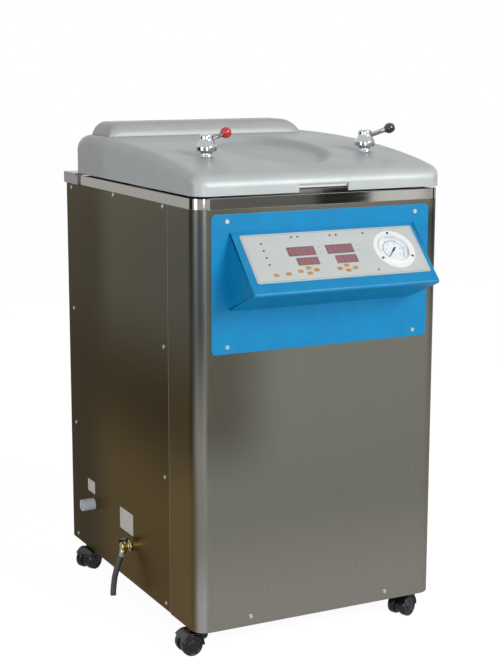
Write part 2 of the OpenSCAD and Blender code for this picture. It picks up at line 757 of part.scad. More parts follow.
// Indices round the rim of the grid
function rim_index() = concat([for (i = [0 : lid_nx - 1]) i],
    [for (j = [1 : lid_ny - 1]) j * lid_nx + lid_nx - 1],
    [for (i = [1 : lid_nx - 1]) lid_nx * lid_ny - 1 - i],
    [for (j = [1 : lid_ny - 2]) (lid_ny - 1 - j) * lid_nx]);

module lid_skin() {
    n = lid_nx * lid_ny;
    rim = rim_index();
    m = len(rim);
    top = lid_layer(0);
    under = lid_layer(lid_t);
    foot = [for (i = rim) [top[i][0], top[i][1], 0]];
    inner_foot = [for (i = rim) [under[i][0], under[i][1], 0]];
    function cell(j, i) = j * lid_nx + i;
    // two triangles for the quad a, b, c, d
    function quad(a, b, c, d) = [[a, b, c], [a, c, d]];
    faces = concat(
        [for (j = [0 : lid_ny - 2], i = [0 : lid_nx - 2])
            each quad(cell(j + 1, i), cell(j + 1, i + 1), cell(j, i + 1), cell(j, i))],
        [for (j = [0 : lid_ny - 2], i = [0 : lid_nx - 2])
            each quad(n + cell(j + 1, i), n + cell(j, i), n + cell(j, i + 1), n + cell(j + 1, i + 1))],
        [for (k = [0 : m - 1]) let (q = (k + 1) % m)
            each quad(rim[k], rim[q], 2 * n + q, 2 * n + k)],
        [for (k = [0 : m - 1]) let (q = (k + 1) % m)
            each quad(n + rim[k], 2 * n + m + k, 2 * n + m + q, n + rim[q])],
        [for (k = [0 : m - 1]) let (q = (k + 1) % m)
            each quad(2 * n + k, 2 * n + q, 2 * n + m + q, 2 * n + m + k)]);
    polyhedron(concat(top, under, foot, inner_foot), faces);
}

shank_r = 8;
arm_slot_gap = 4;
arm_slot_w = arm_w + 2 * arm_slot_gap;
base_shares = [0.95, 0.9]; // radius of a valve's base, below and above, of its cap's

module lid_cover() {
    color("silver") seat() difference() {
        translate([0, lid_y, lid_z]) lid_skin();
        translate([-notch_w / 2, lid_y - over, lid_z - over])
            cube([notch_w, 2 * lid_t + over, notch_h + over]);
        for (s = [-1, 1]) {
            translate([s * valve_x, valve_y, lid_z]) cylinder(r = shank_r + rest_gap, h = lid_rear_h);
            translate([s * valve_x, valve_y, valve_z])
                cylinder(r = valve_r * base_shares[0] + rest_gap, h = lid_rear_h);
            translate([s * arm_x - arm_slot_w / 2, lid_y + lid_d - 2 * lid_t, lid_z - over])
                cube([arm_slot_w, 3 * lid_t, arm_z + arm_t + arm_slot_gap - lid_z + over]);
        }
    }
}

liner_up = 2.5;
liner_back = 28;       // how far the liner ends before the lid's back
liner_z = lid_z + liner_up;
grip_side = 4;         // how far the grip reaches past the notch
grip_d = 18;

module lid_liner() {
    gap = lid_t + over;
    color("white") seat() difference() {
        translate([0, lid_y + gap, liner_z]) linear_extrude(sheet)
            front_round(lid_w - 2 * gap, lid_d - 2 * gap - liner_back, lid_corner + over);
        translate([0, vessel_y, liner_z - over]) cylinder(r = ring_r + deck_gap - over, h = sheet + 2 * over);
        translate([-notch_w / 2 - 2 * grip_side, lid_y, liner_z - over])
            cube([notch_w + 4 * grip_side, grip_d + 3 * lid_t + 2 * over, sheet + 2 * over]);
        for (s = [-1, 1]) translate([s * arm_x - arm_slot_w / 2, hinge_y - 2 * arm_w, liner_z - over])
            cube([arm_slot_w, 2 * arm_w, sheet + 2 * over]);
    }
}

stud_y = 165;
stud_r = 5;
arm_front = 100;
brace_w = 14;          // width of the rear cross bar

// Arms: two flat bars with hinge knuckles, cross bars and the studs that hold the door
module lid_arms() {
    color("dimgray") seat() difference() {
        union() {
            for (s = [-1, 1]) {
                translate([s * arm_x - arm_w / 2, arm_front, arm_z])
                    cube([arm_w, hinge_y - arm_front - knuckle_r / 2, arm_t]);
                bar_x(s * arm_x - arm_w / 2, s * arm_x + arm_w / 2, hinge_y, hinge_z, knuckle_r);
                for (y = [-1, 1]) translate([s * arm_x, vessel_y + y * stud_y, door_z + door_t])
                    cylinder(r = stud_r, h = arm_z - door_z - door_t + over);
            }
            translate([-arm_x, arm_front, arm_z]) cube([2 * arm_x, arm_w, arm_t]);
            translate([-arm_x, lid_y + lid_d - lid_t - rest_gap - brace_w, arm_z])
                cube([2 * arm_x, brace_w, arm_t]);
        }
        bar_x(-arm_x - arm_w, arm_x + arm_w, hinge_y, hinge_z, hinge_pin_r + run_gap);
    }
}

module torsion_bar() {
    l = arm_x + bracket_w / 2 + 2 * bracket_gap;
    color("gray") seat() bar_x(-l, l, hinge_y, hinge_z, hinge_pin_r);
}

module hinge_brackets() {
    color("gray") seat() difference() {
        for (s = [-1, 1]) {
            translate([s * arm_x - bracket_w / 2, hinge_y - knuckle_r, bracket_z])
                cube([bracket_w, 2 * knuckle_r, bracket_t]);
            for (t = [-1, 1]) {
                x = s * arm_x + t * (bracket_w - bracket_t) / 2 - bracket_t / 2;
                translate([x, hinge_y - knuckle_r, bracket_z])
                    cube([bracket_t, 2 * knuckle_r, hinge_z - bracket_z]);
                bar_x(x, x + bracket_t, hinge_y, hinge_z, knuckle_r);
            }
        }
        bar_x(-half_w, half_w, hinge_y, hinge_z, hinge_pin_r + run_gap);
    }
}

valve_pipe_x = 150;
valve_pipe_y = 172;
valve_pipe_r = 6;
valve_boss_z = arm_z + 2 * valve_pipe_r + 1; // where a valve's shank stands on the pipe's end
dome_shares = [0.5, 0.85]; // places on the dome's curve, of its radius
dome_rise_shares = [0.76, 0.3]; // height of the curve there, of the dome's
dome_in = 16;
dome_t = 5;
dome_foot = 4;

// Pressure door: a flat toothed rim, a dome, and the pipes up to the two valves
module pressure_door() {
    dome_r = door_r - dome_in;
    pipe_z0 = arm_z + valve_pipe_r;
    boss_z = door_z + door_t - dome_foot;
    color("silver") seat() {
        translate([0, vessel_y, 0]) {
            rotate_extrude() polygon([[0, door_z + dome_h],
                [dome_r * dome_shares[0], door_z + dome_h * dome_rise_shares[0]],
                [dome_r * dome_shares[1], door_z + dome_h * dome_rise_shares[1]],
                [dome_r - dome_foot, door_z], [door_r, door_z], [door_r, door_z + door_t],
                [dome_r, door_z + door_t],
                [dome_r * dome_shares[1] + dome_foot, door_z + door_t + dome_t / 2],
                [dome_r * dome_shares[0], door_z + dome_h * dome_rise_shares[0] + dome_t],
                [0, door_z + dome_h + dome_t]]);
            for (i = [0 : tooth_n - 1]) rotate(90 + i * 360 / tooth_n - tooth_angle / 2)
                rotate_extrude(angle = tooth_angle) translate([door_r - over, door_z])
                    square([tooth_l + over, door_t]);
        }
        for (s = [-1, 1]) {
            translate([s * valve_pipe_x, valve_pipe_y, boss_z])
                cylinder(r = valve_pipe_r + over, h = pipe_z0 + valve_pipe_r + over - boss_z);
            rod([s * valve_pipe_x, valve_pipe_y, pipe_z0], [s * valve_x, valve_y, pipe_z0], valve_pipe_r);
            translate([s * valve_x, valve_y, arm_z]) cylinder(r = shank_r + over, h = valve_boss_z - arm_z);
        }
    }
}

gasket_in = 10;        // from the bore to the middle of the gasket
gasket_w = 10;
gasket_r = bore_r + gasket_in;

module door_gasket() {
    color("white") seat() translate([0, vessel_y, flange_top]) difference() {
        cylinder(r = gasket_r + gasket_w / 2, h = door_gap);
        translate([0, 0, -over]) cylinder(r = gasket_r - gasket_w / 2, h = door_gap + 2 * over);
    }
}

grip_show = 8;         // height of the gap left under the grip plate
grip_t = 2;
grip_back = 1.9;       // set back, clear of the lid's rounded front edge

module lid_grip() {
    w = notch_w + 2 * grip_side;
    color("whitesmoke") seat() translate([-w / 2, lid_y + lid_t + rest_gap + grip_back, lid_z + grip_show]) {
        cube([w, grip_t, notch_h - grip_show + grip_side]);
        cube([w, grip_d, grip_t]);
    }
}

// Valves on the lid: a shank, a flared skirt with a slot, and a cap

valve_z = lid_z + crown(valve_y - lid_y); // where the neck meets the lid's top
valve_h = 42;
neck_share = 0.84;     // radii of the neck and the skirt, of the cap's
skirt_share = 1.5;
neck_zs = [3, 5, 8.5];  // heights of the base, the neck's start and its end
skirt_zs = [11, 20, 31];
cap_edge = 3;
pin_r = 1.5;
pin_l = 24;
lever_x = 7;
lever_z = 30;
lever_w = 6;
lever_r = 2.8;
lever_bar_h = 9;       // height of the safety lever's flat bar
lever_eye_r = 3.5;
lever_play = 0.4;
slot_h = 7;
lever_tilts = [23, 16]; // of the exhaust and the safety lever

module valve_body(x) {
    r = valve_r;
    slot_x = lever_x - lever_eye_r - 2 * lever_play;
    translate([x, valve_y, 0]) difference() {
        union() {
            translate([0, 0, valve_boss_z]) cylinder(r = shank_r, h = valve_z + neck_zs[0] - valve_boss_z);
            translate([0, 0, valve_z]) rotate_extrude() polygon([[0, 0], [r * base_shares[0], 0],
                [r * base_shares[1], neck_zs[0]], [r * neck_share, neck_zs[1]], [r * neck_share, neck_zs[2]],
                [r * skirt_share, skirt_zs[0]], [r * skirt_share, skirt_zs[1]], [r, skirt_zs[2]],
                [r, valve_h - cap_edge], [r - cap_edge, valve_h], [0, valve_h]]);
        }
        // slot in which the lever turns
        translate([slot_x, -lever_w / 2 - lever_play, valve_z + lever_z - slot_h])
            cube([2 * r, lever_w + 2 * lever_play, valve_h]);
        translate([lever_x, r + over, valve_z + lever_z]) rotate([90, 0, 0])
            cylinder(r = pin_r + run_gap, h = 2 * r + 2 * over);
    }
}

// Puts its children on a lever's axis, with the lever's length along +Z
module at_lever(x) {
    translate([x + lever_x, valve_y, valve_z + lever_z]) rotate([0, 90 - lever_tilts[x < 0 ? 0 : 1], 0])
        children();
}

// Pin of a lever and the eye round it
module lever_pin(x) {
    at_lever(x) rotate([90, 0, 0]) {
        translate([0, 0, -pin_l / 2]) cylinder(r = pin_r, h = pin_l);
        translate([0, 0, -lever_w / 2]) cylinder(r = lever_eye_r, h = lever_w);
    }
}

module exhaust_valve() { color("gainsboro") seat() valve_body(-valve_x); }
module safety_valve() { color("gainsboro") seat() valve_body(valve_x); }

ball_r = 11;
pear_r = 10.3;
pear_l = 23;
pear_stem = [5, 3];    // radius at the stem's foot and length of the stem
pear_shares = [0.82, 1, 0.95, 0.78, 0.4]; // radii of the pear, of its largest
pear_l_shares = [0.28, 0.5, 0.72, 0.9, 1]; // places of these radii along it

module exhaust_lever() {
    color("red") seat() {
        lever_pin(-valve_x);
        at_lever(-valve_x) cylinder(r = lever_r, h = exhaust_lever_l - ball_r);
        at_lever(-valve_x) translate([0, 0, exhaust_lever_l - lever_eye_r]) sphere(ball_r);
    }
}

module safety_lever() {
    color([0.08, 0.08, 0.09]) seat() {
        lever_pin(valve_x);
        at_lever(valve_x) translate([-lever_bar_h / 2, -lever_w / 2, 0])
            cube([lever_bar_h, lever_w, safety_lever_l - pear_l + pear_stem[1]]);
        at_lever(valve_x) translate([0, 0, safety_lever_l - pear_l]) rotate_extrude()
            polygon(concat([[0, 0], [pear_stem[0], 0], [pear_stem[0] + over, pear_stem[1]]],
                [for (i = [0 : 4]) [pear_r * pear_shares[i], pear_l * pear_l_shares[i]]], [[0, pear_l]]));
    }
}

// Console: a flange plate and a folded wedge, hollow behind

// Side outline of the wedge, t inside its outer faces
function wedge_side(t) = let (drop = t / cos(face_tilt))
    [[over, wedge_top - drop], [0, wedge_top - drop],
    [-wedge_out + t, wedge_top - wedge_drop - drop + t * tan(face_tilt)],
    [-wedge_out - lip_out + t, wedge_top - wedge_drop - lip_out],
    [-wedge_out - lip_out + t, wedge_top - wedge_drop - wedge_lip + t / 2],
    [over, wedge_top - wedge_h + t]];

// Windows on the slope: middle across, distance down the slope, width and height
window_places = [[-67.5, 55, 56, 20], [12.4, 55, 56, 20], [-62, 78, 44, 16.5], [18.2, 78.5, 44.5, 17.5]];
// Keys and lamps: middle across and distance down the slope
key_places = [[-85, 99], [-67, 93], [-52, 98.5], [-68, 104.6], [-4, 99], [12, 93], [28, 99.7], [11.5, 104.3],
    [-136, 104], [-111, 103]];
lamp_places = [[-141.5, 33], [-141.5, 49], [-141.5, 65], [-141.5, 80.6], [-76, 22], [-63, 22],
    [4, 23], [17, 23], [74, 23], [74, 108]];
key_w = 10;
key_h = 6;
key_up = 0.8;          // how far a key stands out past the label
key_play = 0.35;
key_foot_r = 2;
key_travel = 0.6;
switch_h = 3;
switch_w = 6;
lamp_r = 1.9;
lamp_up = 0.3;
neck_w = 3;            // width of the gauge case's wall
board_t = 1.6;
board_depth = 11;
board_x = [-165, 60];
board_s = [14, 118];
post_r = 3;
post_in_board = 7;
case_depth = 34;
flange_corner = 9;
label_corner = 4;

// Openings in the sloping sheet and in the label, d deep on both sides
module face_cuts(d) {
    for (w = window_places) translate([w[0] - w[2] / 2 - key_play, -w[1] - w[3] / 2 - key_play, -d])
        cube([w[2] + 2 * key_play, w[3] + 2 * key_play, 2 * d]);
    for (k = key_places) translate([k[0] - key_w / 2 - key_play, -k[1] - key_h / 2 - key_play, -d])
        cube([key_w + 2 * key_play, key_h + 2 * key_play, 2 * d]);
    for (p = lamp_places) translate([p[0], -p[1], -d]) cylinder(r = lamp_r + key_play, h = 2 * d);
    translate([gauge_x, -gauge_s, -d]) cylinder(r = dial_r + neck_w + key_play, h = 2 * d);
}

module console_housing() {
    color([0.15, 0.55, 0.85]) seat() difference() {
        union() {
            translate([0, 0, plate_top - plate_h / 2]) rotate([90, 0, 0]) linear_extrude(sheet)
                round_rect(plate_w, plate_h, flange_corner);
            difference() {
                translate([-wedge_w / 2, 0, 0]) rotate([90, 0, 90]) linear_extrude(wedge_w)
                    polygon(wedge_side(0));
                translate([-wedge_w, 0, wedge_top - wedge_h - over])
                    cube([2 * wedge_w, 2 * over, wedge_h + 2 * over]);
            }
        }
        translate([-wedge_w / 2 + sheet, 0, 0]) rotate([90, 0, 90]) linear_extrude(wedge_w - 2 * sheet)
            polygon(wedge_side(sheet));
        on_face() face_cuts(2 * sheet);
    }
}

module face_label() {
    color([0.82, 0.83, 0.84]) seat() on_face() difference() {
        translate([label_x, -label_s, 0]) linear_extrude(label_t) round_rect(label_w, label_h, label_corner);
        face_cuts(2 * sheet);
    }
}

module display_windows() {
    color([0.5, 0.16, 0.2]) seat() on_face() {
        for (w = window_places) translate([w[0] - w[2] / 2, -w[1] - w[3] / 2, -sheet])
            cube([w[2], w[3], sheet + label_t]);
        for (p = lamp_places) translate([p[0], -p[1], -sheet])
            cylinder(r = lamp_r, h = sheet + label_t + lamp_up);
    }
}

// Board behind the sloping face: sockets for the windows, a switch under each key, stand-offs
module control_board() {
    top = -board_depth;
    reach = board_depth - sheet + over;
    color("darkgreen") seat() on_face() {
        translate([board_x[0], -board_s[1], top - board_t])
            cube([board_x[1] - board_x[0], board_s[1] - board_s[0], board_t]);
        for (w = window_places) translate([w[0] - w[2] / 2 + over, -w[1] - w[3] / 2 + over, top - over])
            cube([w[2] - 2 * over, w[3] - 2 * over, reach - rest_gap]);
        for (p = lamp_places) if (p[0] < board_x[1])
            translate([p[0], -p[1], top - over]) cylinder(r = lamp_r - rest_gap, h = reach - rest_gap);
        for (k = key_places) translate([k[0] - switch_w / 2, -k[1] - switch_w / 2, top - over])
            cube([switch_w, switch_w, switch_h + over]);
        for (x = [board_x[0] + post_in_board, board_x[1] - post_in_board],
            y = [board_s[0] + post_in_board, board_s[1] - post_in_board])
            translate([x, -y, top - over]) cylinder(r = post_r, h = reach - run_gap);
    }
}

module key_cap(i) {
    k = key_places[i];
    foot_z = -board_depth + switch_h + key_travel;
    color([0.85, 0.62, 0.36]) seat() on_face() {
        translate([k[0] - key_w / 2, -k[1] - key_h / 2, -sheet])
            cube([key_w, key_h, sheet + label_t + key_up]);
        translate([k[0], -k[1], foot_z]) cylinder(r = key_foot_r, h = -foot_z);
    }
}

// Gauge: a cup with a wide flange, dial, needle and glass

bezel_h = 5;
dial_z = -2;           // height of the dial against the sloping face
dial_t = 0.9;
dial_play = 0.1;
glass_z = 2.4;
glass_t = 1.4;
flange_thick = 1.5;
gauge_screw = [37, 2.6, 1.8]; // place, radius and height of the flange's screws
gauge_hub_r = 2.5;
gauge_pin_r = 1;
needle_tail = 8;
needle_share = 0.78;   // length of the needle, of the dial's radius
needle_ws = [3.2, 2.8, 0.6];
needle_t = 0.8;
socket_l = 12;         // length of the pressure socket behind the case
pressure_r = 7;

module gauge_case() {
    r = dial_r + neck_w;
    color("whitesmoke") seat() {
        on_face() translate([gauge_x, -gauge_s, 0]) {
            rotate_extrude() polygon([[0, -case_depth], [r, -case_depth], [r, label_t],
                [gauge_flange_r, label_t], [gauge_flange_r, label_t + flange_thick],
                [r + over, label_t + flange_thick], [r, bezel_h], [dial_r + rest_gap, bezel_h],
                [dial_r + rest_gap, dial_z - dial_t - dial_play], [0, dial_z - dial_t - dial_play]]);
            for (i = [0 : gauge_screw_n - 1]) rotate(90 + i * 360 / gauge_screw_n)
                translate([gauge_screw[0], 0, label_t + over])
                    cylinder(r = gauge_screw[1], h = gauge_screw[2]);
            translate([0, 0, dial_z - dial_t - over])
                cylinder(r = gauge_pin_r, h = glass_z - dial_z + dial_t);
            translate([0, 0, -case_depth - socket_l]) cylinder(r = pressure_r, h = socket_l + over);
        }
        rod(gauge_back, gauge_end, gauge_line_r);
    }
}

// Ends of the gauge's pressure line: behind the case, and on the vessel's wall
gauge_end = [gauge_line_x, vessel_y - sqrt(pow(vessel_r + rest_gap, 2)
    - pow(gauge_line_x - gauge_line_r, 2)), gauge_line_z];
gauge_behind = case_depth + socket_l - gauge_line_r;
gauge_back = [gauge_x, -gauge_s * cos(face_tilt) + gauge_behind * sin(face_tilt),
    wedge_top - gauge_s * sin(face_tilt) - gauge_behind * cos(face_tilt)];

module gauge_dial() {
    color("white") seat() on_face() translate([gauge_x, -gauge_s, dial_z - dial_t]) difference() {
        cylinder(r = dial_r, h = dial_t);
        translate([0, 0, -over]) cylinder(r = gauge_pin_r + rest_gap, h = dial_t + 2 * over);
    }
}

needle_turn = 225;     // the needle points down and left at zero pressure

module gauge_needle() {
    l = dial_r * needle_share;
    color("black") seat() on_face() translate([gauge_x, -gauge_s, dial_z + needle_t]) difference() {
        union() {
            cylinder(r = gauge_hub_r, h = 1.5 * needle_t);
            rotate(needle_turn) linear_extrude(needle_t) polygon([[-needle_tail, -needle_ws[0] / 2],
                [-needle_tail, needle_ws[0] / 2], [0, needle_ws[1] / 2], [l, needle_ws[2] / 2],
                [l, -needle_ws[2] / 2], [0, -needle_ws[1] / 2]]);
        }
        translate([0, 0, -over]) cylinder(r = gauge_pin_r + run_gap, h = 4 * needle_t);
    }
}

module gauge_glass() {
    color([0.8, 0.9, 0.95, 0.4]) seat() on_face() translate([gauge_x, -gauge_s, glass_z])
        cylinder(r = dial_r, h = glass_t);
}

// Pipework

tank_in = 37;          // from the cabinet's side to the tank
tank_w = 150;
tank_d = 135;
tank_h = 240;
tank_t = 3;
tank_back = 10;        // from the tank to the cabinet's rear
tank_y = cab_d - tank_d - tank_back;
tank_z = panel_z_side + tube_w + rest_gap;
inlet = [14, 15];      // radius and height of the tank's inlet
steam_side = 40;       // from the tank's inner side to the steam inlet
steam_x = -half_w + tank_in + tank_w - steam_side;
steam_down = 160;      // from the deck down to the steam outlet
steam_z = deck_z - steam_down;
steam_r = 6;
bend_r = 9;
nut_r = 18;
nut_l = 7;
solenoid_down = 180;   // from the outlet down to the solenoid valve
solenoid_z = steam_z - solenoid_down;
solenoid = [40, 28, 26]; // size of the solenoid valve's body
coil_r = 17;
coil_l = 42;

module condensate_tank() {
    x1 = -half_w + tank_in;
    color("ivory") seat() difference() {
        union() {
            translate([x1, tank_y, tank_z]) cube([tank_w, tank_d, tank_h]);
            translate([steam_x, tank_y + tank_d / 2, tank_z + tank_h - over])
                cylinder(r = inlet[0], h = inlet[1] + over);
        }
        translate([x1 + tank_t, tank_y + tank_t, tank_z + tank_t])
            cube([tank_w - 2 * tank_t, tank_d - 2 * tank_t, tank_h - 2 * tank_t]);
        bar_x(x1 - over, x1 + tank_t + over, pipe_y, pipe_z, pipe_bore_r);
    }
}

module exhaust_outlet() {
    x1 = -half_w + tank_in - run_gap;
    color("lightsteelblue") seat() difference() {
        union() {
            bar_x(-half_w - pipe_out, x1, pipe_y, pipe_z, pipe_r);
            bar_x(-half_w + sheet + rest_gap, -half_w + sheet + rest_gap + nut_l, pipe_y, pipe_z, nut_r);
        }
        bar_x(-half_w - pipe_out - over, x1 + over, pipe_y, pipe_z, pipe_bore_r);
    }
}

// Steam line: out of the vessel's back, through the solenoid valve and down into the tank
module steam_line() {
    y0 = vessel_y + sqrt(pow(vessel_r + rest_gap, 2) - pow(steam_x + steam_r, 2));
    y1 = tank_y + tank_d / 2;
    color("peru") seat() {
        rod([steam_x, y0, steam_z], [steam_x, y1, steam_z], steam_r);
        translate([steam_x, y1, steam_z]) sphere(bend_r);
        rod([steam_x, y1, tank_z + tank_h + inlet[1] + rest_gap], [steam_x, y1, steam_z], steam_r);
        translate([steam_x - solenoid[0] / 2, y1 - solenoid[1] / 2, solenoid_z]) cube(solenoid);
        translate([steam_x, y1 + solenoid[1] / 2 - over, solenoid_z + solenoid[2] / 2]) rotate([-90, 0, 0])
            cylinder(r = coil_r, h = coil_l);
    }
}

body_out = 12;         // from the cabinet's side to the middle of the drain valve
body_r = 9;
body_l = 19;
shank_out = 5;
nut_across = 12;
gland_nut_h = 4;
bonnet_r = 4.5;
bonnet_h = 1.5;
stem_pin_r = 2;
tail_r = 5;
elbow_down_r = 7.2;
hose_top = 106;
tail_dip = 9;          // how far the tail reaches into the hose

module drain_valve() {
    at = [-half_w - body_out, drain_y, drain_z];
    color("goldenrod") seat() difference() {
        union() {
            bar_x(-half_w - shank_out, -half_w + drain_in, drain_y, drain_z, drain_hole_r - rest_gap);
            translate([-half_w - gland_nut_h - rest_gap, drain_y, drain_z]) rotate([0, 90, 0])
                cylinder(r = nut_across, h = gland_nut_h, $fn = 6);
            bar_x(at[0] - body_l / 2, at[0] + body_l / 2, drain_y, drain_z, body_r);
            translate(at) cylinder(r = bonnet_r, h = body_r + bonnet_h);
            rod(at, [-half_w - drain_out + tail_r + over, drain_y, hose_top - tail_dip], tail_r);
            rod(at, [at[0] - body_l / 2 + stem_pin_r, drain_y, hose_top + tail_dip], elbow_down_r);
        }
        translate(at + [0, 0, stem_pin_r]) cylinder(r = stem_pin_r + run_gap, h = body_r + stem_pin_r);
    }
}

handle_l = 15;
handle_w = 8;
handle_t = 4;
handle_hub = [6, 7];   // radius and height
handle_up = 1.5;

module drain_handle() {
    z0 = body_r + bonnet_h + rest_gap;
    color([0.1, 0.15, 0.3]) seat() translate([-half_w - body_out, drain_y, drain_z]) {
        translate([0, 0, stem_pin_r + over]) cylinder(r = stem_pin_r, h = z0 - stem_pin_r);
        translate([0, 0, z0]) cylinder(r = handle_hub[0], h = handle_hub[1]);
        translate([-handle_l, -handle_w / 2, z0 + handle_up]) cube([handle_l, handle_w, handle_t]);
        translate([-handle_l, 0, z0 + handle_up]) cylinder(r = handle_w / 2, h = handle_t);
    }
}

// Hose: its route in the cabinet's frame, points in order from the tail to the cut end
hose_route = [[-282, 318, 108], [-284, 318, 103], [-286, 318, 98], [-288, 318, 93], [-290, 318, 87],
    [-292, 318, 82], [-293, 318, 76], [-295, 318, 71], [-296, 318, 65], [-297, 318, 60], [-298, 317, 54],
    [-299, 317, 48], [-300, 316, 42], [-301, 315, 36], [-301, 314, 30]];
hose_sides = 10;

// A ring of points round a route point, square to the way in and out
function hose_ring(k) = let (n = len(hose_route),
    a = hose_route[max(0, k - 1)], b = hose_route[min(n - 1, k + 1)], d = (b - a) / norm(b - a),
    u = [0, 1, 0] - d * d[1], across = u / norm(u), up = cross(d, across))
    [for (i = [0 : hose_sides - 1]) let (t = i * 360 / hose_sides)
        hose_route[k] + (across * cos(t) + up * sin(t)) * hose_d / 2];

module drain_hose() {
    n = len(hose_route);
    s = hose_sides;
    color("dimgray") seat() polyhedron([for (k = [0 : n - 1]) each hose_ring(k)], concat(
        [for (k = [0 : n - 2], i = [0 : s - 1]) let (j = (i + 1) % s)
            each [[k * s + i, k * s + j, (k + 1) * s + j], [k * s + i, (k + 1) * s + j, (k + 1) * s + i]]],
        [[for (i = [0 : s - 1]) s - 1 - i], [for (i = [0 : s - 1]) (n - 1) * s + i]]));
}

// Power supply: base plate, transformer, relays and the cable gland in the rear panel
supply_base = [190, 102, 3];
supply_end = [10, 28]; // from the right side and from the rear panel to the base plate
core = [70, 60, 60];   // size of the transformer
relay = [50, 24, 34];
relay_n = 3;
relay_gap = 6;
supply_margin = 10;
gland_nut = [14, 4];   // radius and height
gland_dome_h = 9;
gland_in = 11.5;       // how far the gland reaches in
cable_r = 5;

module power_supply() {
    x0 = half_w - supply_end[0] - supply_base[0];
    y0 = cab_d - supply_end[1] - supply_base[1];
    x1 = x0 + supply_margin;
    z1 = tank_z + supply_base[2] - over;
    color("steelblue") seat() {
        translate([x0, y0, tank_z]) cube(supply_base);
        translate([x1, y0 + supply_margin, z1]) cube(core);
        for (k = [0 : relay_n - 1])
            translate([x1 + core[0] + supply_margin, y0 + relay_gap + k * (relay[1] + relay_gap), z1])
                cube(relay);
    }
    color("black") seat() translate([gland_x, cab_d, gland_z]) rotate([-90, 0, 0]) difference() {
        union() {
            translate([0, 0, rest_gap]) cylinder(r = gland_nut[0], h = gland_nut[1]);
            translate([0, 0, -gland_in]) cylinder(r = gland_r, h = gland_in + gland_dome_h);
        }
        translate([0, 0, -2 * gland_in]) cylinder(r = cable_r, h = 4 * gland_in);
    }
}

frame();
front_panel();
left_panel();
right_panel();
rear_panel();
top_deck();
hinge_housing();
panel_screws();
caster_hood(0);  // caster_hood_1
caster_hood(1);  // caster_hood_2
caster_hood(2);  // caster_hood_3
caster_hood(3);  // caster_hood_4
caster_wheels(0);  // caster_wheels_1
caster_wheels(1);  // caster_wheels_2
caster_wheels(2);  // caster_wheels_3
caster_wheels(3);  // caster_wheels_4
chamber();
insulation_jacket();
heating_tubes();
basket_stand();
basket();
lock_ring();
level_probes();
lid_cover();
lid_liner();
lid_arms();
torsion_bar();
hinge_brackets();
pressure_door();
door_gasket();
lid_grip();
exhaust_valve();
exhaust_lever();
safety_valve();
safety_lever();
console_housing();
face_label();
display_windows();
control_board();
key_cap(0);  // key_1
key_cap(1);  // key_2
key_cap(2);  // key_3
key_cap(3);  // key_4
key_cap(4);  // key_5
key_cap(5);  // key_6
key_cap(6);  // key_7
key_cap(7);  // key_8
key_cap(8);  // key_9
key_cap(9);  // key_10
gauge_case();
gauge_dial();
gauge_needle();
gauge_glass();
condensate_tank();
exhaust_outlet();
steam_line();
drain_valve();
drain_handle();
drain_hose();
power_supply();
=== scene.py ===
import math

import bpy
import bmesh
import numpy as np
from mathutils import Matrix, Vector


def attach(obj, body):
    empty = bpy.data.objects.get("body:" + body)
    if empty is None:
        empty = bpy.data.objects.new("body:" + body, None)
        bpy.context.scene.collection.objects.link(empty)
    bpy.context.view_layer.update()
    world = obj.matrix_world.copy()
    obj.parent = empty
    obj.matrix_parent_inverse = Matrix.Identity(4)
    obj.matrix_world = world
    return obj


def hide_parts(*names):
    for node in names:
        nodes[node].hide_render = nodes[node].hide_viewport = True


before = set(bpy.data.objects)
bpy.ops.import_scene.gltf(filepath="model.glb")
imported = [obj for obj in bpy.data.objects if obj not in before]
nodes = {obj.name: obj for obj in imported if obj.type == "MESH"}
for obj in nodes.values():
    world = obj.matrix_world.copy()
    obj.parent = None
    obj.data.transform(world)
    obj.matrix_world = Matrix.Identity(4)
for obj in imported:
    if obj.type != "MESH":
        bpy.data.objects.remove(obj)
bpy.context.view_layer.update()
print("frame loaded:", len(nodes), "nodes")

# Lengths below are millimetres in the cabinet's own frame: X from its middle, Y from its front
# face to the back, Z from the floor. seat() turns them into the scene's metres.
seatShift = (15.8, -280.0, 0.0)
quarterTurn = math.pi / 2


def seat(points):
    return (np.asarray(points, float) + seatShift) / 1000


def addObject(name, data):
    thing = bpy.data.objects.new(name, data)
    bpy.context.scene.collection.objects.link(thing)
    return thing


# Camera, from the photograph's vanishing lines
view = {"place": (-1.3520, -2.6693, 1.1238), "yaw": 26.99, "pitch": 10.80, "roll": 0.09, "lens": 81.18,
        "sensor": 36, "clip": (0.05, 60)}


def placeCamera(v):
    yaw, pitch, roll = (math.radians(v[k]) for k in ("yaw", "pitch", "roll"))
    ahead = np.array([math.sin(yaw) * math.cos(pitch), math.cos(yaw) * math.cos(pitch), -math.sin(pitch)])
    right = np.array([math.cos(yaw), -math.sin(yaw), 0])
    up = np.cross(right, ahead)
    x = math.cos(roll) * right + math.sin(roll) * up
    y = -math.sin(roll) * right + math.cos(roll) * up
    data = bpy.data.cameras.new("camera")
    data.lens, data.sensor_width = v["lens"], v["sensor"]
    data.clip_start, data.clip_end = v["clip"]
    camera = addObject("camera", data)
    matrix = Matrix(np.stack([x, y, -ahead], 1).tolist()).to_4x4()
    matrix.translation = v["place"]
    camera.matrix_world = matrix
    bpy.context.scene.camera = camera


placeCamera(view)
print("camera placed")


# Mesh helpers. A part is (points, faces) or (points, faces, material slot); a piece joins parts,
# closes their seams and turns their faces outwards.

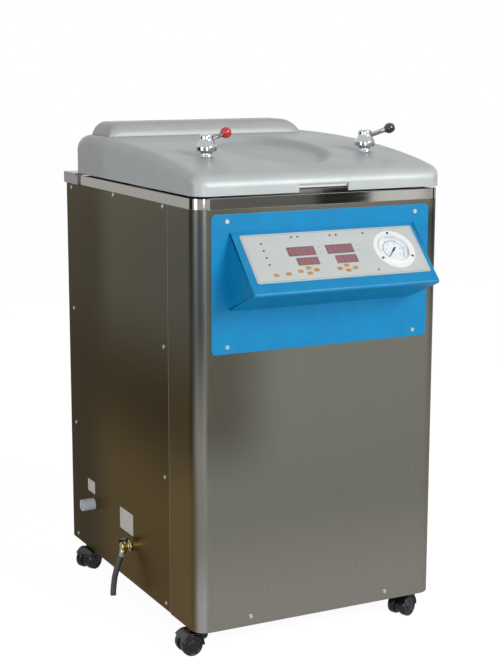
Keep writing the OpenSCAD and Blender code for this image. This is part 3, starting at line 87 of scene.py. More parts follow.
# rows x columns of points into quads: the last column meets the first, and each end is one face
def gridPart(points, wrap=True, ends=True, ring=False):
    rows, cols = points.shape[:2]
    i = np.arange(rows if ring else rows - 1)[:, None]
    j = np.arange(cols if wrap else cols - 1)[None]
    nextI, nextJ = (i + 1) % rows, (j + 1) % cols
    faces = np.stack([i * cols + j, i * cols + nextJ, nextI * cols + nextJ, nextI * cols + j], -1)
    faces = faces.reshape(-1, 4).tolist()
    if ends:
        faces += [list(range(cols))[::-1], list(range((rows - 1) * cols, rows * cols))]
    return points.reshape(-1, 3), faces


# Faces meeting at more than the angle stay sharp; wide faces stay flat beside rounded edges
def shadeFaces(piece, sharp):
    piece.data.shade_smooth()
    piece.data.set_sharp_from_angle(angle=math.radians(sharp))
    shade = piece.modifiers.new("evenShade", "WEIGHTED_NORMAL")
    shade.keep_sharp = True
    shade.weight = 50


joining = {"merge": 1e-6, "sliver": 1e-7, "sharp": 32}


def makePiece(name, parts, finish, slot, stands=(), body="cabinet", sharp=joining["sharp"], toScene=seat):
    points, faces, slots, start = [], [], [], 0
    for part in parts:
        points.append(np.asarray(part[0], float))
        faces += [[k + start for k in face] for face in part[1]]
        slots += [part[2] if len(part) > 2 else 0] * len(part[1])
        start += len(part[0])
    mesh = bpy.data.meshes.new(name)
    mesh.from_pydata(toScene(np.concatenate(points)).tolist(), [], faces)
    mesh.polygons.foreach_set("material_index", slots)
    for each in [finish] if isinstance(finish, str) else finish:
        mesh.materials.append(made[each])
    shell = bmesh.new()
    shell.from_mesh(mesh)
    bmesh.ops.remove_doubles(shell, verts=shell.verts, dist=joining["merge"])
    bmesh.ops.dissolve_degenerate(shell, edges=shell.edges, dist=joining["sliver"])
    bmesh.ops.recalc_face_normals(shell, faces=shell.faces)
    shell.to_mesh(mesh)
    shell.free()
    piece = addObject(name, mesh)
    shadeFaces(piece, sharp)
    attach(piece, body)
    if stands:
        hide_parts(*stands)
    return piece


# Points of a line with each corner cut back by radius, but by less than half of a side, and
# rounded with a quadratic curve
def softLine(points, radius, n=4, closed=True):
    p = np.asarray(points, float)
    radius = np.broadcast_to(np.asarray(radius, float), len(p))[:, None]
    before, after = np.roll(p, 1, 0) - p, np.roll(p, -1, 0) - p
    lengthBefore = np.linalg.norm(before, axis=1, keepdims=True)
    lengthAfter = np.linalg.norm(after, axis=1, keepdims=True)
    a = p + before / lengthBefore * np.minimum(radius, 0.49 * lengthBefore)
    b = p + after / lengthAfter * np.minimum(radius, 0.49 * lengthAfter)
    t = np.linspace(0, 1, n)[None, :, None]
    out = a[:, None] * (1 - t) ** 2 + 2 * p[:, None] * t * (1 - t) + b[:, None] * t ** 2
    if closed:
        return out.reshape(-1, 2)
    return np.concatenate([p[:1], out[1:-1].reshape(-1, 2), p[-1:]])


# Quarter circle of stations: how far in along the edge, and how far the outline is drawn in
def quarter(edge, n=5):
    t = np.linspace(0, quarterTurn, n)
    return edge * (1 - np.sin(t)), edge * (1 - np.cos(t))


# Closed line moved inwards by each of the amounts, along its own normals
def drawnIn(line, amounts):
    turn = np.roll(line, -1, 0) - np.roll(line, 1, 0)
    turn /= np.linalg.norm(turn, axis=1, keepdims=True) + 1e-12
    normal = np.stack([turn[:, 1], -turn[:, 0]], 1)
    area = np.sum(line[:, 0] * np.roll(line[:, 1], -1) - line[:, 1] * np.roll(line[:, 0], -1))
    return line[None] - np.sign(area) * normal[None] * np.asarray(amounts)[:, None, None]


# Closed outline carried from a to b, each end rounded by its own edge: outlines and their stations
def carried(line, a, b, edges, n):
    (first, firstIn), (last, lastIn) = (quarter(edge, n) for edge in edges)
    at = np.concatenate([a + first[::-1], b - last])
    rings = drawnIn(line, np.concatenate([firstIn[::-1], lastIn]))
    return rings, np.broadcast_to(at[:, None, None], rings.shape[:2] + (1,))


# Outline in (Y, Z) carried along X
def prism(line, x0, x1, edge=0.5, n=4):
    rings, at = carried(line, x0, x1, (edge, edge), n)
    return gridPart(np.concatenate([at, rings], -1))


# Outline in (X, Y) raised along Z
def slab(line, z0, z1, edges=(0.5, 0.5), n=4):
    rings, at = carried(line, z0, z1, edges, n)
    return gridPart(np.concatenate([rings, at], -1))


def polar(r, t):
    return np.stack([r * np.cos(t), r * np.sin(t)], -1)


def atHeight(line, z):
    return np.column_stack([line, np.full(len(line), z)])


# Rounded rectangle, counter-clockwise, centred
def outline(w, d, r, n=7):
    t = np.linspace(0, quarterTurn, n)[None] + np.arange(4)[:, None] * quarterTurn
    middles = np.array([(1, 1), (-1, 1), (-1, -1), (1, -1)]) * (w / 2 - r, d / 2 - r)
    return (middles[:, None] + polar(r, t)).reshape(-1, 2)


# Profile of (radius, height) turned round the Z axis
def turned(profile, steps=48, closed=False):
    p = np.asarray(profile, float)
    t = np.arange(steps) * 2 * math.pi / steps
    points = np.concatenate([polar(p[:, :1], t), np.broadcast_to(p[:, None, 1:], (len(p), steps, 1))], -1)
    return gridPart(points, ends=False, ring=closed)


# The same, with the profile's corners rounded first
def lathe(profile, radii, n, steps):
    return turned(softLine(profile, radii, n, closed=False), steps)


def rod(r, z0, z1, steps):
    return turned([(0, z0), (r, z0), (r, z1), (0, z1)], steps)


# Tube of varying radius along a line of points
def tube(path, radii, sides=20, side=(0, 1, 0)):
    path = np.asarray(path, float)
    ahead = np.gradient(path, axis=0)
    ahead /= np.linalg.norm(ahead, axis=1, keepdims=True)
    across = np.asarray(side, float) - ahead * (ahead @ np.asarray(side, float))[:, None]
    across /= np.linalg.norm(across, axis=1, keepdims=True)
    up = np.cross(ahead, across)
    t = np.arange(sides) * 2 * math.pi / sides
    radii = np.broadcast_to(np.asarray(radii, float), len(path))[:, None, None]
    ring = np.cos(t)[None, :, None] * across[:, None] + np.sin(t)[None, :, None] * up[:, None]
    return gridPart(path[:, None] + ring * radii)


# Part moved to a place, with its own X, Y and Z along the given directions
def put(part, place=(0, 0, 0), axes=((1, 0, 0), (0, 1, 0), (0, 0, 1))):
    return (np.asarray(part[0]) @ np.asarray(axes, float) + place, *part[1:])


def withSlot(part, slot=1):
    return part[0], part[1], slot


alongX = ((0, 1, 0), (0, 0, 1), (1, 0, 0))  # a turned part's axis laid along X
alongY = ((0, 0, 1), (1, 0, 0), (0, 1, 0))


def spin(degrees):
    c, s = math.cos(math.radians(degrees)), math.sin(math.radians(degrees))
    return ((c, s, 0), (-s, c, 0), (0, 0, 1))


# Tone in 8-bit values as the shader's linear colour
def linear(r, g, b):
    c = np.array((r, g, b)) / 255
    return (*np.where(c > 0.04045, ((c + 0.055) / 1.055) ** 2.4, c / 12.92).tolist(), 1.0)


# Inputs of a node, by label or number: each takes a plain value or a link
def feed(tree, node, inputs):
    for label, value in inputs.items():
        if isinstance(value, (int, float, tuple)):
            node.inputs[label].default_value = value
        else:
            tree.links.new(value, node.inputs[label])


def newNode(tree, kind, inputs=None, **settings):
    node = tree.nodes.new("ShaderNode" + kind)
    for label, value in settings.items():
        setattr(node, label, value)
    feed(tree, node, inputs or {})
    return node


def calc(tree, operation, *values):
    return newNode(tree, "Math", dict(enumerate(values)), operation=operation).outputs[0]


def noise(tree, vector, scale, detail, roughness):
    inputs = {"Vector": vector, "Scale": scale, "Detail": detail, "Roughness": roughness}
    return newNode(tree, "TexNoise", inputs).outputs["Fac"]


def remap(tree, value, a, b, low=0.0, high=1.0, kind="LINEAR"):
    inputs = {"Value": value, "From Min": a, "From Max": b, "To Min": low, "To Max": high}
    return newNode(tree, "MapRange", inputs, interpolation_type=kind).outputs["Result"]


def axesOf(tree, vector):
    return newNode(tree, "SeparateXYZ", {0: vector}).outputs


# Node groups for the effects that several finishes share: a vector and one number go in, a mask
# and a height come out
def newGroup(name, label="Scale", value=40.0, given=("Mask", "Height")):
    tree = bpy.data.node_groups.new(name, "ShaderNodeTree")
    tree.interface.new_socket("Vector", in_out="INPUT", socket_type="NodeSocketVector")
    tree.interface.new_socket(label, in_out="INPUT", socket_type="NodeSocketFloat").default_value = value
    for each in given:
        tree.interface.new_socket(each, in_out="OUTPUT", socket_type="NodeSocketFloat")
    vector, number = list(tree.nodes.new("NodeGroupInput").outputs)[:2]
    return tree, vector, number, tree.nodes.new("NodeGroupOutput")


# Brushed streaks: fine noise, which the material's mapping stretches along the grain
def makeGrain():
    tree, vector, scale, out = newGroup("brushedGrain")
    fine = noise(tree, vector, scale, detail=4, roughness=0.65)
    feed(tree, out, {"Mask": remap(tree, fine, 0.28, 0.72), "Height": fine})
    return tree


# Sprayed or moulded skin: shallow even dimples with faint clouds of tone
def makePeel():
    tree, vector, scale, out = newGroup("orangePeel")
    dimples = noise(tree, vector, scale, detail=1.5, roughness=0.4)
    broad = calc(tree, "MULTIPLY", scale, 0.03)
    clouds = noise(tree, vector, broad, detail=3, roughness=0.55)
    feed(tree, out, {"Mask": remap(tree, clouds, 0.3, 0.7), "Height": dimples})
    return tree


# Cloth: two crossed waves of yarn, the mask darker between them
def makeWeave():
    tree, vector, scale, out = newGroup("clothWeave")
    inputs = {"Vector": vector, "Scale": scale, "Distortion": 0.6}
    waves = [newNode(tree, "TexWave", inputs, bands_direction=way).outputs["Fac"] for way in ("X", "Z")]
    both = calc(tree, "MAXIMUM", *waves)
    feed(tree, out, {"Mask": remap(tree, both, 0.2, 1.0), "Height": both})
    return tree


# Dust that settles low down: 1 at the floor, 0 at the given height, broken up by noise
def makeDust():
    tree, vector, height, out = newGroup("settledDust", "Height", 0.06, ("Mask",))
    low = calc(tree, "SUBTRACT", 1.0, calc(tree, "DIVIDE", axesOf(tree, vector)["Z"], height))
    specks = remap(tree, noise(tree, vector, 160, detail=5, roughness=0.7), 0.35, 0.75)
    both = calc(tree, "MULTIPLY", calc(tree, "MAXIMUM", low, 0.0), specks)
    feed(tree, out, {"Mask": calc(tree, "MINIMUM", both, 1.0)})
    return tree


groups = {"grain": makeGrain(), "peel": makePeel(), "weave": makeWeave(), "dust": makeDust()}


def addGroup(tree, name, **inputs):
    return newNode(tree, "Group", inputs, node_tree=groups[name]).outputs


def mixColour(tree, share, a, b):
    return newNode(tree, "Mix", {0: share, 6: a, 7: b}, data_type="RGBA").outputs[2]


def newMaterial(name):
    material = bpy.data.materials.new(name)
    material.use_nodes = True
    tree = material.node_tree
    return material, tree, tree.nodes["Principled BSDF"], newNode(tree, "TexCoord").outputs["Object"]


dustLook = {"tone": (150, 145, 135), "share": 0.5}
fleck = 1.06  # how much lighter a ramp's second tone is


# A finish: two tones mixed by a pattern, roughness between two values by the same pattern, bump
# from its height. Each ramp blends in a tone where it is inside its spans along the object's axes;
# the ramps paint shade, highlights and reflections into the colour.
def makeFinish(name, tone, second, scale, rough, metal, bump, pattern="peel", stretch=(1, 1, 1),
               depth=0.0002, ramps=(), dust=0.0, sockets=()):
    material, tree, shader, place = newMaterial(name)
    mapping = newNode(tree, "Mapping", {"Vector": place, "Scale": stretch}).outputs[0]
    look = addGroup(tree, pattern, Vector=mapping, Scale=scale)
    colour = mixColour(tree, look["Mask"], linear(*tone), linear(*second))
    axes = axesOf(tree, place) if ramps else None
    for paintedTone, *spans in ramps:
        share = 1.0
        for axis, a, b in spans:
            share = calc(tree, "MULTIPLY", share, remap(tree, axes[axis], a, b, kind="SMOOTHSTEP"))
        flecked = mixColour(tree, look["Mask"], linear(*paintedTone), linear(*(k * fleck for k in paintedTone)))
        colour = mixColour(tree, share, colour, flecked)
    roughness = remap(tree, look["Mask"], 0.0, 1.0, *rough)
    if dust:
        settled = addGroup(tree, "dust", Vector=place, Height=dust)["Mask"]
        share = calc(tree, "MULTIPLY", settled, dustLook["share"])
        colour = mixColour(tree, share, colour, linear(*dustLook["tone"]))
        roughness = calc(tree, "MAXIMUM", roughness, settled)
    skin = newNode(tree, "Bump", {"Strength": bump, "Distance": depth, "Height": look["Height"]})
    feed(tree, shader, {"Base Color": colour, "Roughness": roughness, "Metallic": metal,
                        "Normal": skin.outputs[0], **dict(sockets)})
    return material


upright = dict(pattern="grain", stretch=(1, 1, 0.02))  # a grain that runs up and down
level = dict(pattern="grain", stretch=(0.02, 1, 1))
clear = {"Coat Weight": 0.5, "Coat Roughness": 0.12}
glossy = {"Coat Weight": 0.8, "Coat Roughness": 0.06}
brushed = dict(upright, depth=0.00005)
warm = dict(brushed, sockets={"Specular Tint": (0.94, 0.83, 0.68, 1)})
cornerHighlightSpan = ("X", -0.2192, -0.2272)  # spans of the painted highlight down the left corner, and of the painted shade on the sheet wrapped round behind it
wrap = (("Y", -0.273, -0.256), ("X", 0.05, -0.05))
brushedRough = (0.27, 0.32)

# Finishes, with tones in 8-bit values as they look in the photograph: first and second tone,
# pattern scale, roughness from and to, metal, bump, and what else differs
finishes = {
    # The ramps paint reflection and shade into the sheet: lighter low down and just under the deck, darker
    # high up and on the left, a painted highlight down the left corner, painted shade on the sheet wrapped
    # round to the side.
    "frontSteel": ((138, 138, 128), (143, 143, 133), 600, brushedRough, 1.0, 0.04, dict(warm, ramps=[
        ((160, 155, 148), ("Z", 0.30, 0.08)), ((74, 90, 88), ("Z", 0.60, 0.80)),
        ((118, 115, 108), ("Z", 0.81, 0.83)), ((102, 100, 88), ("X", -0.05, -0.19), ("Z", 0.30, 0.46)),
        ((148, 145, 138), cornerHighlightSpan), ((80, 85, 85), cornerHighlightSpan, ("Z", 0.36, 0.66)),
        ((186, 184, 180), cornerHighlightSpan, ("Z", 0.24, 0.08)), ((70, 60, 40), *wrap),
        ((114, 97, 62), *wrap, ("Z", 0.44, 0.28)), ((96, 100, 95), *wrap, ("Z", 0.46, 0.69))])),
    # Base tone and ramps are painted reflection and shade: dark brown in the middle, lighter low and high,
    # darker towards the back, and a painted highlight along the seam.
    "sideSteel": ((42, 33, 12), (46, 37, 15), 600, brushedRough, 1.0, 0.04, dict(warm, ramps=[
        ((96, 79, 45), ("Z", 0.44, 0.26)), ((94, 97, 91), ("Z", 0.45, 0.68)),
        ((24, 20, 13), ("Y", 0.10, 0.30)), ((58, 60, 56), ("Y", 0.10, 0.30), ("Z", 0.45, 0.68)),
        ((168, 164, 150), ("Y", -0.1572, -0.1584))])),
    "plainSteel": ((138, 138, 128), (143, 143, 133), 600, brushedRough, 1.0, 0.04, brushed),
    # The ramp paints the top edge and top face dark: painted shade of the gap under the lid, in place of the
    # edge's bright reflection.
    "mirrorSteel": ((226, 224, 216), (234, 232, 225), 300, (0.04, 0.08), 1.0, 0.01, dict(
        level, depth=0.00002, ramps=[((84, 84, 80), ("Z", 0.8585, 0.8595))])),
    "chrome": ((190, 193, 195), (180, 183, 185), 300, (0.04, 0.09), 1.0, 0.01),
    "screwSteel": ((226, 226, 222), (208, 208, 204), 600, (0.3, 0.4), 1.0, 0.02),
    # Painted light: a near-white, barely metallic tone that makes the polished plate read bright in the
    # notch's shade.
    "gripSteel": ((240, 242, 241), (232, 234, 233), 300, (0.4, 0.5), 0.1, 0.01),
    "leverSteel": ((122, 124, 124), (134, 136, 136), 300, (0.2, 0.3), 1.0, 0.01),
    "innerSteel": ((170, 170, 168), (188, 188, 186), 500, (0.25, 0.4), 1.0, 0.08, brushed),
    "darkSteel": ((88, 88, 90), (108, 108, 108), 300, (0.35, 0.5), 1.0, 0.1, level),
    "barSteel": ((120, 120, 122), (140, 140, 140), 300, (0.3, 0.4), 1.0, 0.08, level),
    "copper": ((190, 112, 80), (160, 90, 62), 60, (0.25, 0.45), 1.0, 0.03),
    "brass": ((206, 198, 152), (172, 162, 116), 60, (0.16, 0.34), 1.0, 0.03),
    # The ramps are painted shade and reflection: darker over the hump at the back, and a little darker over
    # the dish.
    "lidPaint": ((193, 199, 199), (187, 193, 193), 500, (0.44, 0.50), 0.2, 0.03, dict(
        depth=0.0001, sockets={"Coat Weight": 0.1, "Coat Roughness": 0.16, "Specular IOR Level": 0.3},
        ramps=[((174, 176, 174), ("Y", 0.13, 0.18)),
               ((174, 182, 178), ("X", -0.10, -0.07), ("X", 0.13, 0.10), ("Y", -0.20, -0.16),
                ("Y", 0.12, 0.08))])),
    "housingPaint": ((172, 172, 168), (164, 164, 160), 500, (0.3, 0.4), 0.2, 0.04,
                     dict(depth=0.0001, sockets=clear)),
    "bluePaint": ((2, 143, 200), (0, 135, 191), 900, (0.34, 0.42), 0.0, 0.08,
                  dict(depth=0.0001, sockets={"Specular IOR Level": 0.35})),
    "framePaint": ((52, 54, 56), (62, 64, 66), 700, (0.45, 0.55), 0.0, 0.15),
    "whiteEnamel": ((252, 253, 252), (246, 247, 246), 400, (0.22, 0.3), 0.0, 0.02, dict(sockets=clear)),
    "blackNylon": ((18, 20, 20), (24, 26, 25), 1200, (0.2, 0.3), 0.0, 0.06, dict(depth=0.0001, dust=0.012)),
    "wheelNylon": ((22, 23, 23), (30, 31, 30), 1200, (0.14, 0.24), 0.0, 0.05,
                   dict(depth=0.0001, dust=0.006)),
    "jacketCloth": ((176, 172, 160), (205, 202, 192), 180, (0.8, 0.95), 0.0, 0.5,
                    dict(pattern="weave", depth=0.0006)),
    "silicone": ((214, 206, 192), (222, 215, 203), 300, (0.45, 0.55), 0.0, 0.05,
                 dict(sockets={"Subsurface Weight": 0.1})),
    "linerPlastic": ((216, 216, 210), (206, 206, 200), 500, (0.4, 0.5), 0.0, 0.06),
    "labelFilm": ((206, 212, 210), (200, 206, 204), 700, (0.38, 0.46), 0.0, 0.04, dict(depth=0.00005)),
    "sticker": ((240, 235, 228), (228, 222, 214), 260, (0.4, 0.55), 0.0, 0.1),
    "windowPlastic": ((142, 92, 102), (128, 80, 92), 300, (0.16, 0.22), 0.0, 0.01,
                      dict(sockets={"Coat Weight": 0.4, "Coat Roughness": 0.08})),
    "lampPlastic": ((92, 84, 86), (74, 68, 70), 300, (0.2, 0.3), 0.0, 0.02),
    "keyRubber": ((212, 158, 92), (198, 144, 80), 900, (0.5, 0.6), 0.0, 0.1),
    "keyMark": ((120, 84, 48), (110, 76, 42), 900, (0.5, 0.6), 0.0, 0.05),
    "dialWhite": ((222, 227, 229), (216, 221, 223), 500, (0.4, 0.5), 0.0, 0.02),
    "dialBlack": ((22, 22, 24), (30, 30, 32), 500, (0.35, 0.45), 0.0, 0.03),
    "boardGreen": ((22, 86, 48), (36, 110, 60), 500, (0.35, 0.5), 0.0, 0.1),
    "pipePlastic": ((240, 247, 252), (232, 240, 246), 300, (0.28, 0.36), 0.0, 0.03,
                    dict(sockets={"Subsurface Weight": 0.05})),
    "hoseRubber": ((66, 74, 74), (78, 86, 84), 500, (0.38, 0.5), 0.0, 0.08, dict(dust=0.05)),
    "tankPlastic": ((210, 206, 190), (198, 194, 178), 200, (0.45, 0.55), 0.0, 0.05),
    "redBall": ((206, 26, 24), (190, 20, 20), 300, (0.14, 0.2), 0.0, 0.01, dict(sockets=glossy)),
    "blackKnob": ((16, 16, 18), (22, 22, 24), 300, (0.14, 0.2), 0.0, 0.01, dict(sockets=glossy)),
    "tailPlastic": ((190, 182, 178), (176, 168, 162), 300, (0.35, 0.45), 0.0, 0.03),
    "digitGhost": ((176, 112, 118), (168, 104, 112), 300, (0.3, 0.4), 0.0, 0.01),
    "printGrey": ((120, 122, 124), (112, 114, 116), 300, (0.4, 0.5), 0.0, 0.01),
    "electrics": ((62, 64, 70), (84, 86, 92), 400, (0.45, 0.55), 0.0, 0.1),
}
made = {name: makeFinish(name, *row[:6], **dict(*row[6:])) for name, row in finishes.items()}

glass = {"tint": (0.97, 0.99, 1.0, 1), "ior": 1.2, "rough": 0.04, "scale": 300.0}


# Glass keeps plain transmission; only its roughness varies with faint wiping marks
def makeGlass(v):
    material, tree, shader, place = newMaterial("gaugeGlass")
    marks = addGroup(tree, "peel", Vector=place, Scale=v["scale"])["Mask"]
    feed(tree, shader, {"Roughness": remap(tree, marks, 0.0, 1.0, 0.0, v["rough"]), "Base Color": v["tint"],
                        "Transmission Weight": 1.0, "IOR": v["ior"]})
    return material


made["gaugeGlass"] = makeGlass(glass)
print("finishes made:", len(made))

# Drain hose, along the source's own route, in metres
hose = {"route": [(-0.2662, 0.038, 0.108), (-0.2682, 0.038, 0.103), (-0.2702, 0.038, 0.098),
                  (-0.2722, 0.038, 0.093), (-0.2742, 0.038, 0.087), (-0.2762, 0.038, 0.082),
                  (-0.2772, 0.038, 0.076), (-0.2792, 0.038, 0.071), (-0.2802, 0.038, 0.065),
                  (-0.2812, 0.038, 0.060), (-0.2822, 0.037, 0.054), (-0.2832, 0.037, 0.048),
                  (-0.2842, 0.036, 0.042), (-0.2852, 0.035, 0.036), (-0.2852, 0.034, 0.030)],
        "diameter": 0.012, "wall": 0.0018, "lip": 0.0002, "rings": 57, "boreRings": 10, "sides": 24,
        "smoothing": 6}


# Route smoothed with a moving average that keeps its ends, then swept; the cut end shows the bore
def makeHose(v):
    route, n = np.array(v["route"]), v["rings"]
    t = np.linspace(0, len(route) - 1, n)
    line = np.stack([np.interp(t, np.arange(len(route)), route[:, k]) for k in range(3)], 1)
    for _ in range(v["smoothing"]):
        line[1:-1] = (line[:-2] + 2 * line[1:-1] + line[2:]) / 4
    r = v["diameter"] / 2
    outer, inner = (tube(line, radii, v["sides"])[0].reshape(n, v["sides"], 3)
                    for radii in ([r] * (n - 1) + [r - v["lip"]], r - v["wall"]))
    rings = np.concatenate([outer, inner[:-1 - v["boreRings"]:-1]])
    piece = makePiece("hoseTube", [gridPart(rings)], "hoseRubber", "hose", ["drain_hose"],
                      toScene=lambda p: p)


makeHose(hose)
print("hose made")

# Lid: a crowned cover with a hump behind, a shallow dish and a rounded edge
lid = {"width": 520, "depth": 590, "corner": (26, 10), "wall": 3, "front": -2, "foot": 863.5,
       "frontHeight": 32, "rearHeight": 80, "crownReach": 500, "crownPower": 0.75,
       "hump": 27, "humpSpan": (-229, 214, 480), "humpEase": (28, 40, 26),
       "dish": 13, "dishPlace": (240, 112, 188), "dishWall": 0.22,
       "edgeFront": (20, 17), "edgeSide": (18, 14), "edgeRear": (34, 34), "frontZone": 60, "rearZone": 50,
       "notch": (52, 16), "slotX": 120, "slotHalf": 19, "slotUp": 40, "cell": 4.0, "nick": 0.04,
       "rimLift": 0.6, "rimSoft": 0.2}


def ease(t):
    t = np.clip(t, 0, 1)
    return t * t * (3 - 2 * t)


# Rises from 0 to 1 as a quarter of a circle
def bulge(t):
    t = np.clip(t, 0, 1)
    return np.sqrt(t * (2 - t))


# Square plan with its corners pressed into quarter discs, larger ones at the front
def lidPlan(x, y, v):
    w, d = v["width"], v["depth"]
    front = y < d / 2
    r = np.where(front, *v["corner"])
    a = (np.abs(x) - w / 2 + r) / r
    b = np.where(front, r - y, y - d + r) / r
    corner = (a > 0) & (b > 0)
    a, b = np.clip(a, 0, 1), np.clip(b, 0, 1)
    pressedX = np.sign(x) * (w / 2 - r + a * np.sqrt(1 - b * b / 2) * r)
    across = b * np.sqrt(1 - a * a / 2) * r
    pressedY = np.where(front, r - across, d - r + across)
    return np.where(corner, pressedX, x), np.where(corner, pressedY, y)


# Height = crown rising to the back + hump - dish - quarter round within the edge's reach
def lidHeight(x, y, v):
    w, d = v["width"], v["depth"]
    r = np.where(y < d / 2, *v["corner"])
    qx, qy = np.abs(x) - w / 2 + r, np.abs(y - d / 2) - d / 2 + r
    inset = r - np.hypot(np.maximum(qx, 0), np.maximum(qy, 0)) - np.minimum(np.maximum(qx, qy), 0)
    toSide = np.clip(y / v["frontZone"], 0, 1)
    toRear = np.clip((y - d) / v["rearZone"] + 1, 0, 1)
    reach, drop = (v["edgeFront"][k] * (1 - toSide) + v["edgeSide"][k] * (toSide - toRear)
                   + v["edgeRear"][k] * toRear for k in (0, 1))
    e = 1 - np.clip(inset / reach, 0, 1)
    rise = np.sin(quarterTurn * np.clip(y / v["crownReach"], 0, 1) ** v["crownPower"])
    crown = v["frontHeight"] + (v["rearHeight"] - v["frontHeight"]) * rise
    left, right, front = v["humpSpan"]
    hump = v["hump"] * bulge((x - left) / v["humpEase"][0]) * bulge((right - x) / v["humpEase"][1])
    hump = hump * bulge((y - front) / v["humpEase"][2])
    middle, a, b = v["dishPlace"]
    away = np.hypot(x / a, (y - middle) / b)
    dish = v["dish"] * (1 - ease((away - 1 + v["dishWall"]) / v["dishWall"]))
    return crown + hump - dish - drop * (1 - np.sqrt(np.clip(1 - e * e, 0, 1)))


# Stations from 0 to length, close together near both ends, with the given marks added
def stations(length, low, high, cell, marks=()):
    t = np.linspace(0, quarterTurn, 10)
    even = np.linspace(low, length - high, int((length - low - high) / cell) + 1)
    both = np.concatenate([low * (1 - np.cos(t)), even[1:-1], length - high * (1 - np.cos(t)), marks])
    return np.unique(np.round(both, 3))


# The cover's surface t below its top, drawn in by t on all sides
def lidLayer(xs, ys, v, t):
    x, y = np.meshgrid(xs - v["width"] / 2, ys)
    x, y = lidPlan(x, y, v)
    z = lidHeight(x, y, v) - t
    return np.stack([x * (1 - 2 * t / v["width"]), t + y * (1 - 2 * t / v["depth"]) + v["front"],
                     z + v["foot"]], -1)


# Top and under side, joined by a skirt whose foot rises at the finger notch and the arms' slots
def makeLid(v):
    half = v["width"] / 2
    edges = [v["notch"][0], v["slotX"] - v["slotHalf"], v["slotX"] + v["slotHalf"]]
    left, right, front = v["humpSpan"]
    rolls = (1 - np.cos(np.linspace(0, quarterTurn, 12)))[None] * np.array(v["humpEase"])[:, None]
    nicks = [s * e + k for e in edges for s in (-1, 1) for k in (-v["nick"], v["nick"])]
    marks = half + np.concatenate([nicks, left + rolls[0], right - rolls[1]])
    xs = stations(v["width"], v["edgeSide"][0], v["edgeSide"][0], v["cell"], marks)
    ys = stations(v["depth"], v["edgeFront"][0], v["edgeRear"][0], v["cell"], front + rolls[2])
    top, under = lidLayer(xs, ys, v, 0), lidLayer(xs, ys, v, v["wall"])
    rims = [np.concatenate([g[0], g[1:, -1], g[-1, -2::-1], g[-2:0:-1, 0]]) for g in (top, under)]
    plan = np.concatenate([np.abs(xs - half), np.full(len(ys) - 1, half), np.abs(xs[-2::-1] - half),
                           np.full(len(ys) - 2, half)])
    atFront = rims[0][:, 1] < v["front"] + 1
    atBack = rims[0][:, 1] > v["front"] + v["depth"] - 1
    up = np.where(atFront & (plan < v["notch"][0]), v["notch"][1], 0.0)
    up = np.where(atBack & (np.abs(plan - v["slotX"]) < v["slotHalf"]), v["slotUp"], up)
    feet = [rim * (1, 1, 0) + np.stack([0 * up, 0 * up, up + v["foot"]], 1) for rim in rims]
    soft = feet[0] * (1 - v["rimSoft"]) + feet[1] * v["rimSoft"]
    lift = feet[0] + (0, 0, v["rimLift"])
    skirt = np.stack([rims[0], (rims[0] + lift) / 2, lift, soft, feet[1], rims[1]])
    return [gridPart(top, wrap=False, ends=False), gridPart(under, wrap=False, ends=False),
            gridPart(skirt, ends=False)]


makePiece("lidShell", makeLid(lid), "lidPaint", "cover_grey", ["lid_cover"], body="lid", sharp=40)
print("lid made")

# Cabinet: the front sheet wraps round both corners; the polished deck has the same plan. The
# opening clears the vessel's bore, its flange and the lock ring's wall.
cabinet = {"width": 520, "corner": 30, "sheet": 1.5, "wrap": 119.5, "low": 50, "high": 840, "rim": 20,
           "deckEnd": 565, "edge": 0.6, "edgeIn": 0.25, "deckEdge": 0.7, "fold": 0.3,
           "opening": 190 + 36 + 6 + 13 + 2, "middle": (0.0, 285.0)}


# Open plan line from the left end round both front corners to the right end
def frontLine(v, end, inset, n=13, gap=3):
    half, r = v["width"] / 2 - inset, v["corner"] - inset
    t = np.linspace(0, quarterTurn, n)
    left = np.stack([-half + r - r * np.cos(t), v["corner"] - r * np.sin(t)], 1)
    right = np.stack([half - r + r * np.sin(t), v["corner"] - r * np.cos(t)], 1)
    side = np.linspace(end, v["corner"] + gap, 8)
    across = np.linspace(-half + r + gap, half - r - gap, 12)
    front = np.stack([across, 0 * across + inset], 1)
    return np.concatenate([np.stack([0 * side - half, side], 1), left, front, right,
                           np.stack([0 * side + half, side[::-1]], 1)])


# Ring of the sheet's section at each station of the plan line: outer face, edges, inner face
def wrapSheet(v):
    outer, inner = frontLine(v, v["wrap"], 0), frontLine(v, v["wrap"], v["sheet"])
    e, s, low, high = v["edge"], v["edgeIn"], v["low"], v["high"]
    section = [(s, low), (0, low + e), (0, high - e), (s, high), (1, high), (1, low)]
    return [gridPart(np.stack([atHeight(outer * (1 - k) + inner * k, z) for k, z in section], 1))]


makePiece("frontSheet", wrapSheet(cabinet), "frontSteel", "stainless", ["front_panel"])


# Deck: at each direction from the vessel's axis, a section from the round opening out to the rim,
# down the polished band and back under the sheet
def makeDeck(v):
    back = np.linspace(v["width"] / 2, -v["width"] / 2, 60)[1:-1]
    back = np.stack([back, 0 * back + v["deckEnd"]], 1)
    line, inner = (np.concatenate([frontLine(v, v["deckEnd"], inset, 15), back])
                   for inset in (0, v["sheet"]))
    away = line - v["middle"]
    hole = v["middle"] + away / np.linalg.norm(away, axis=1, keepdims=True) * v["opening"]
    e, f, z0, z1 = v["deckEdge"], v["fold"], v["high"], v["high"] + v["rim"]
    toward = (hole - line) / np.linalg.norm(hole - line, axis=1, keepdims=True)
    rows = [(hole, z1), (line + toward * e, z1), (line + toward * e * f, z1 - e * f), (line, z1 - e),
            (line, z0 + f), (line + toward * f, z0), (inner, z0), (inner, z1 - v["sheet"]),
            (hole, z1 - v["sheet"])]
    return [gridPart(np.stack([atHeight(*row) for row in rows], 1), ring=True, ends=False)]


makePiece("deckRim", makeDeck(cabinet), "mirrorSteel", "polished", ["top_deck"])
print("cabinet sheets made")

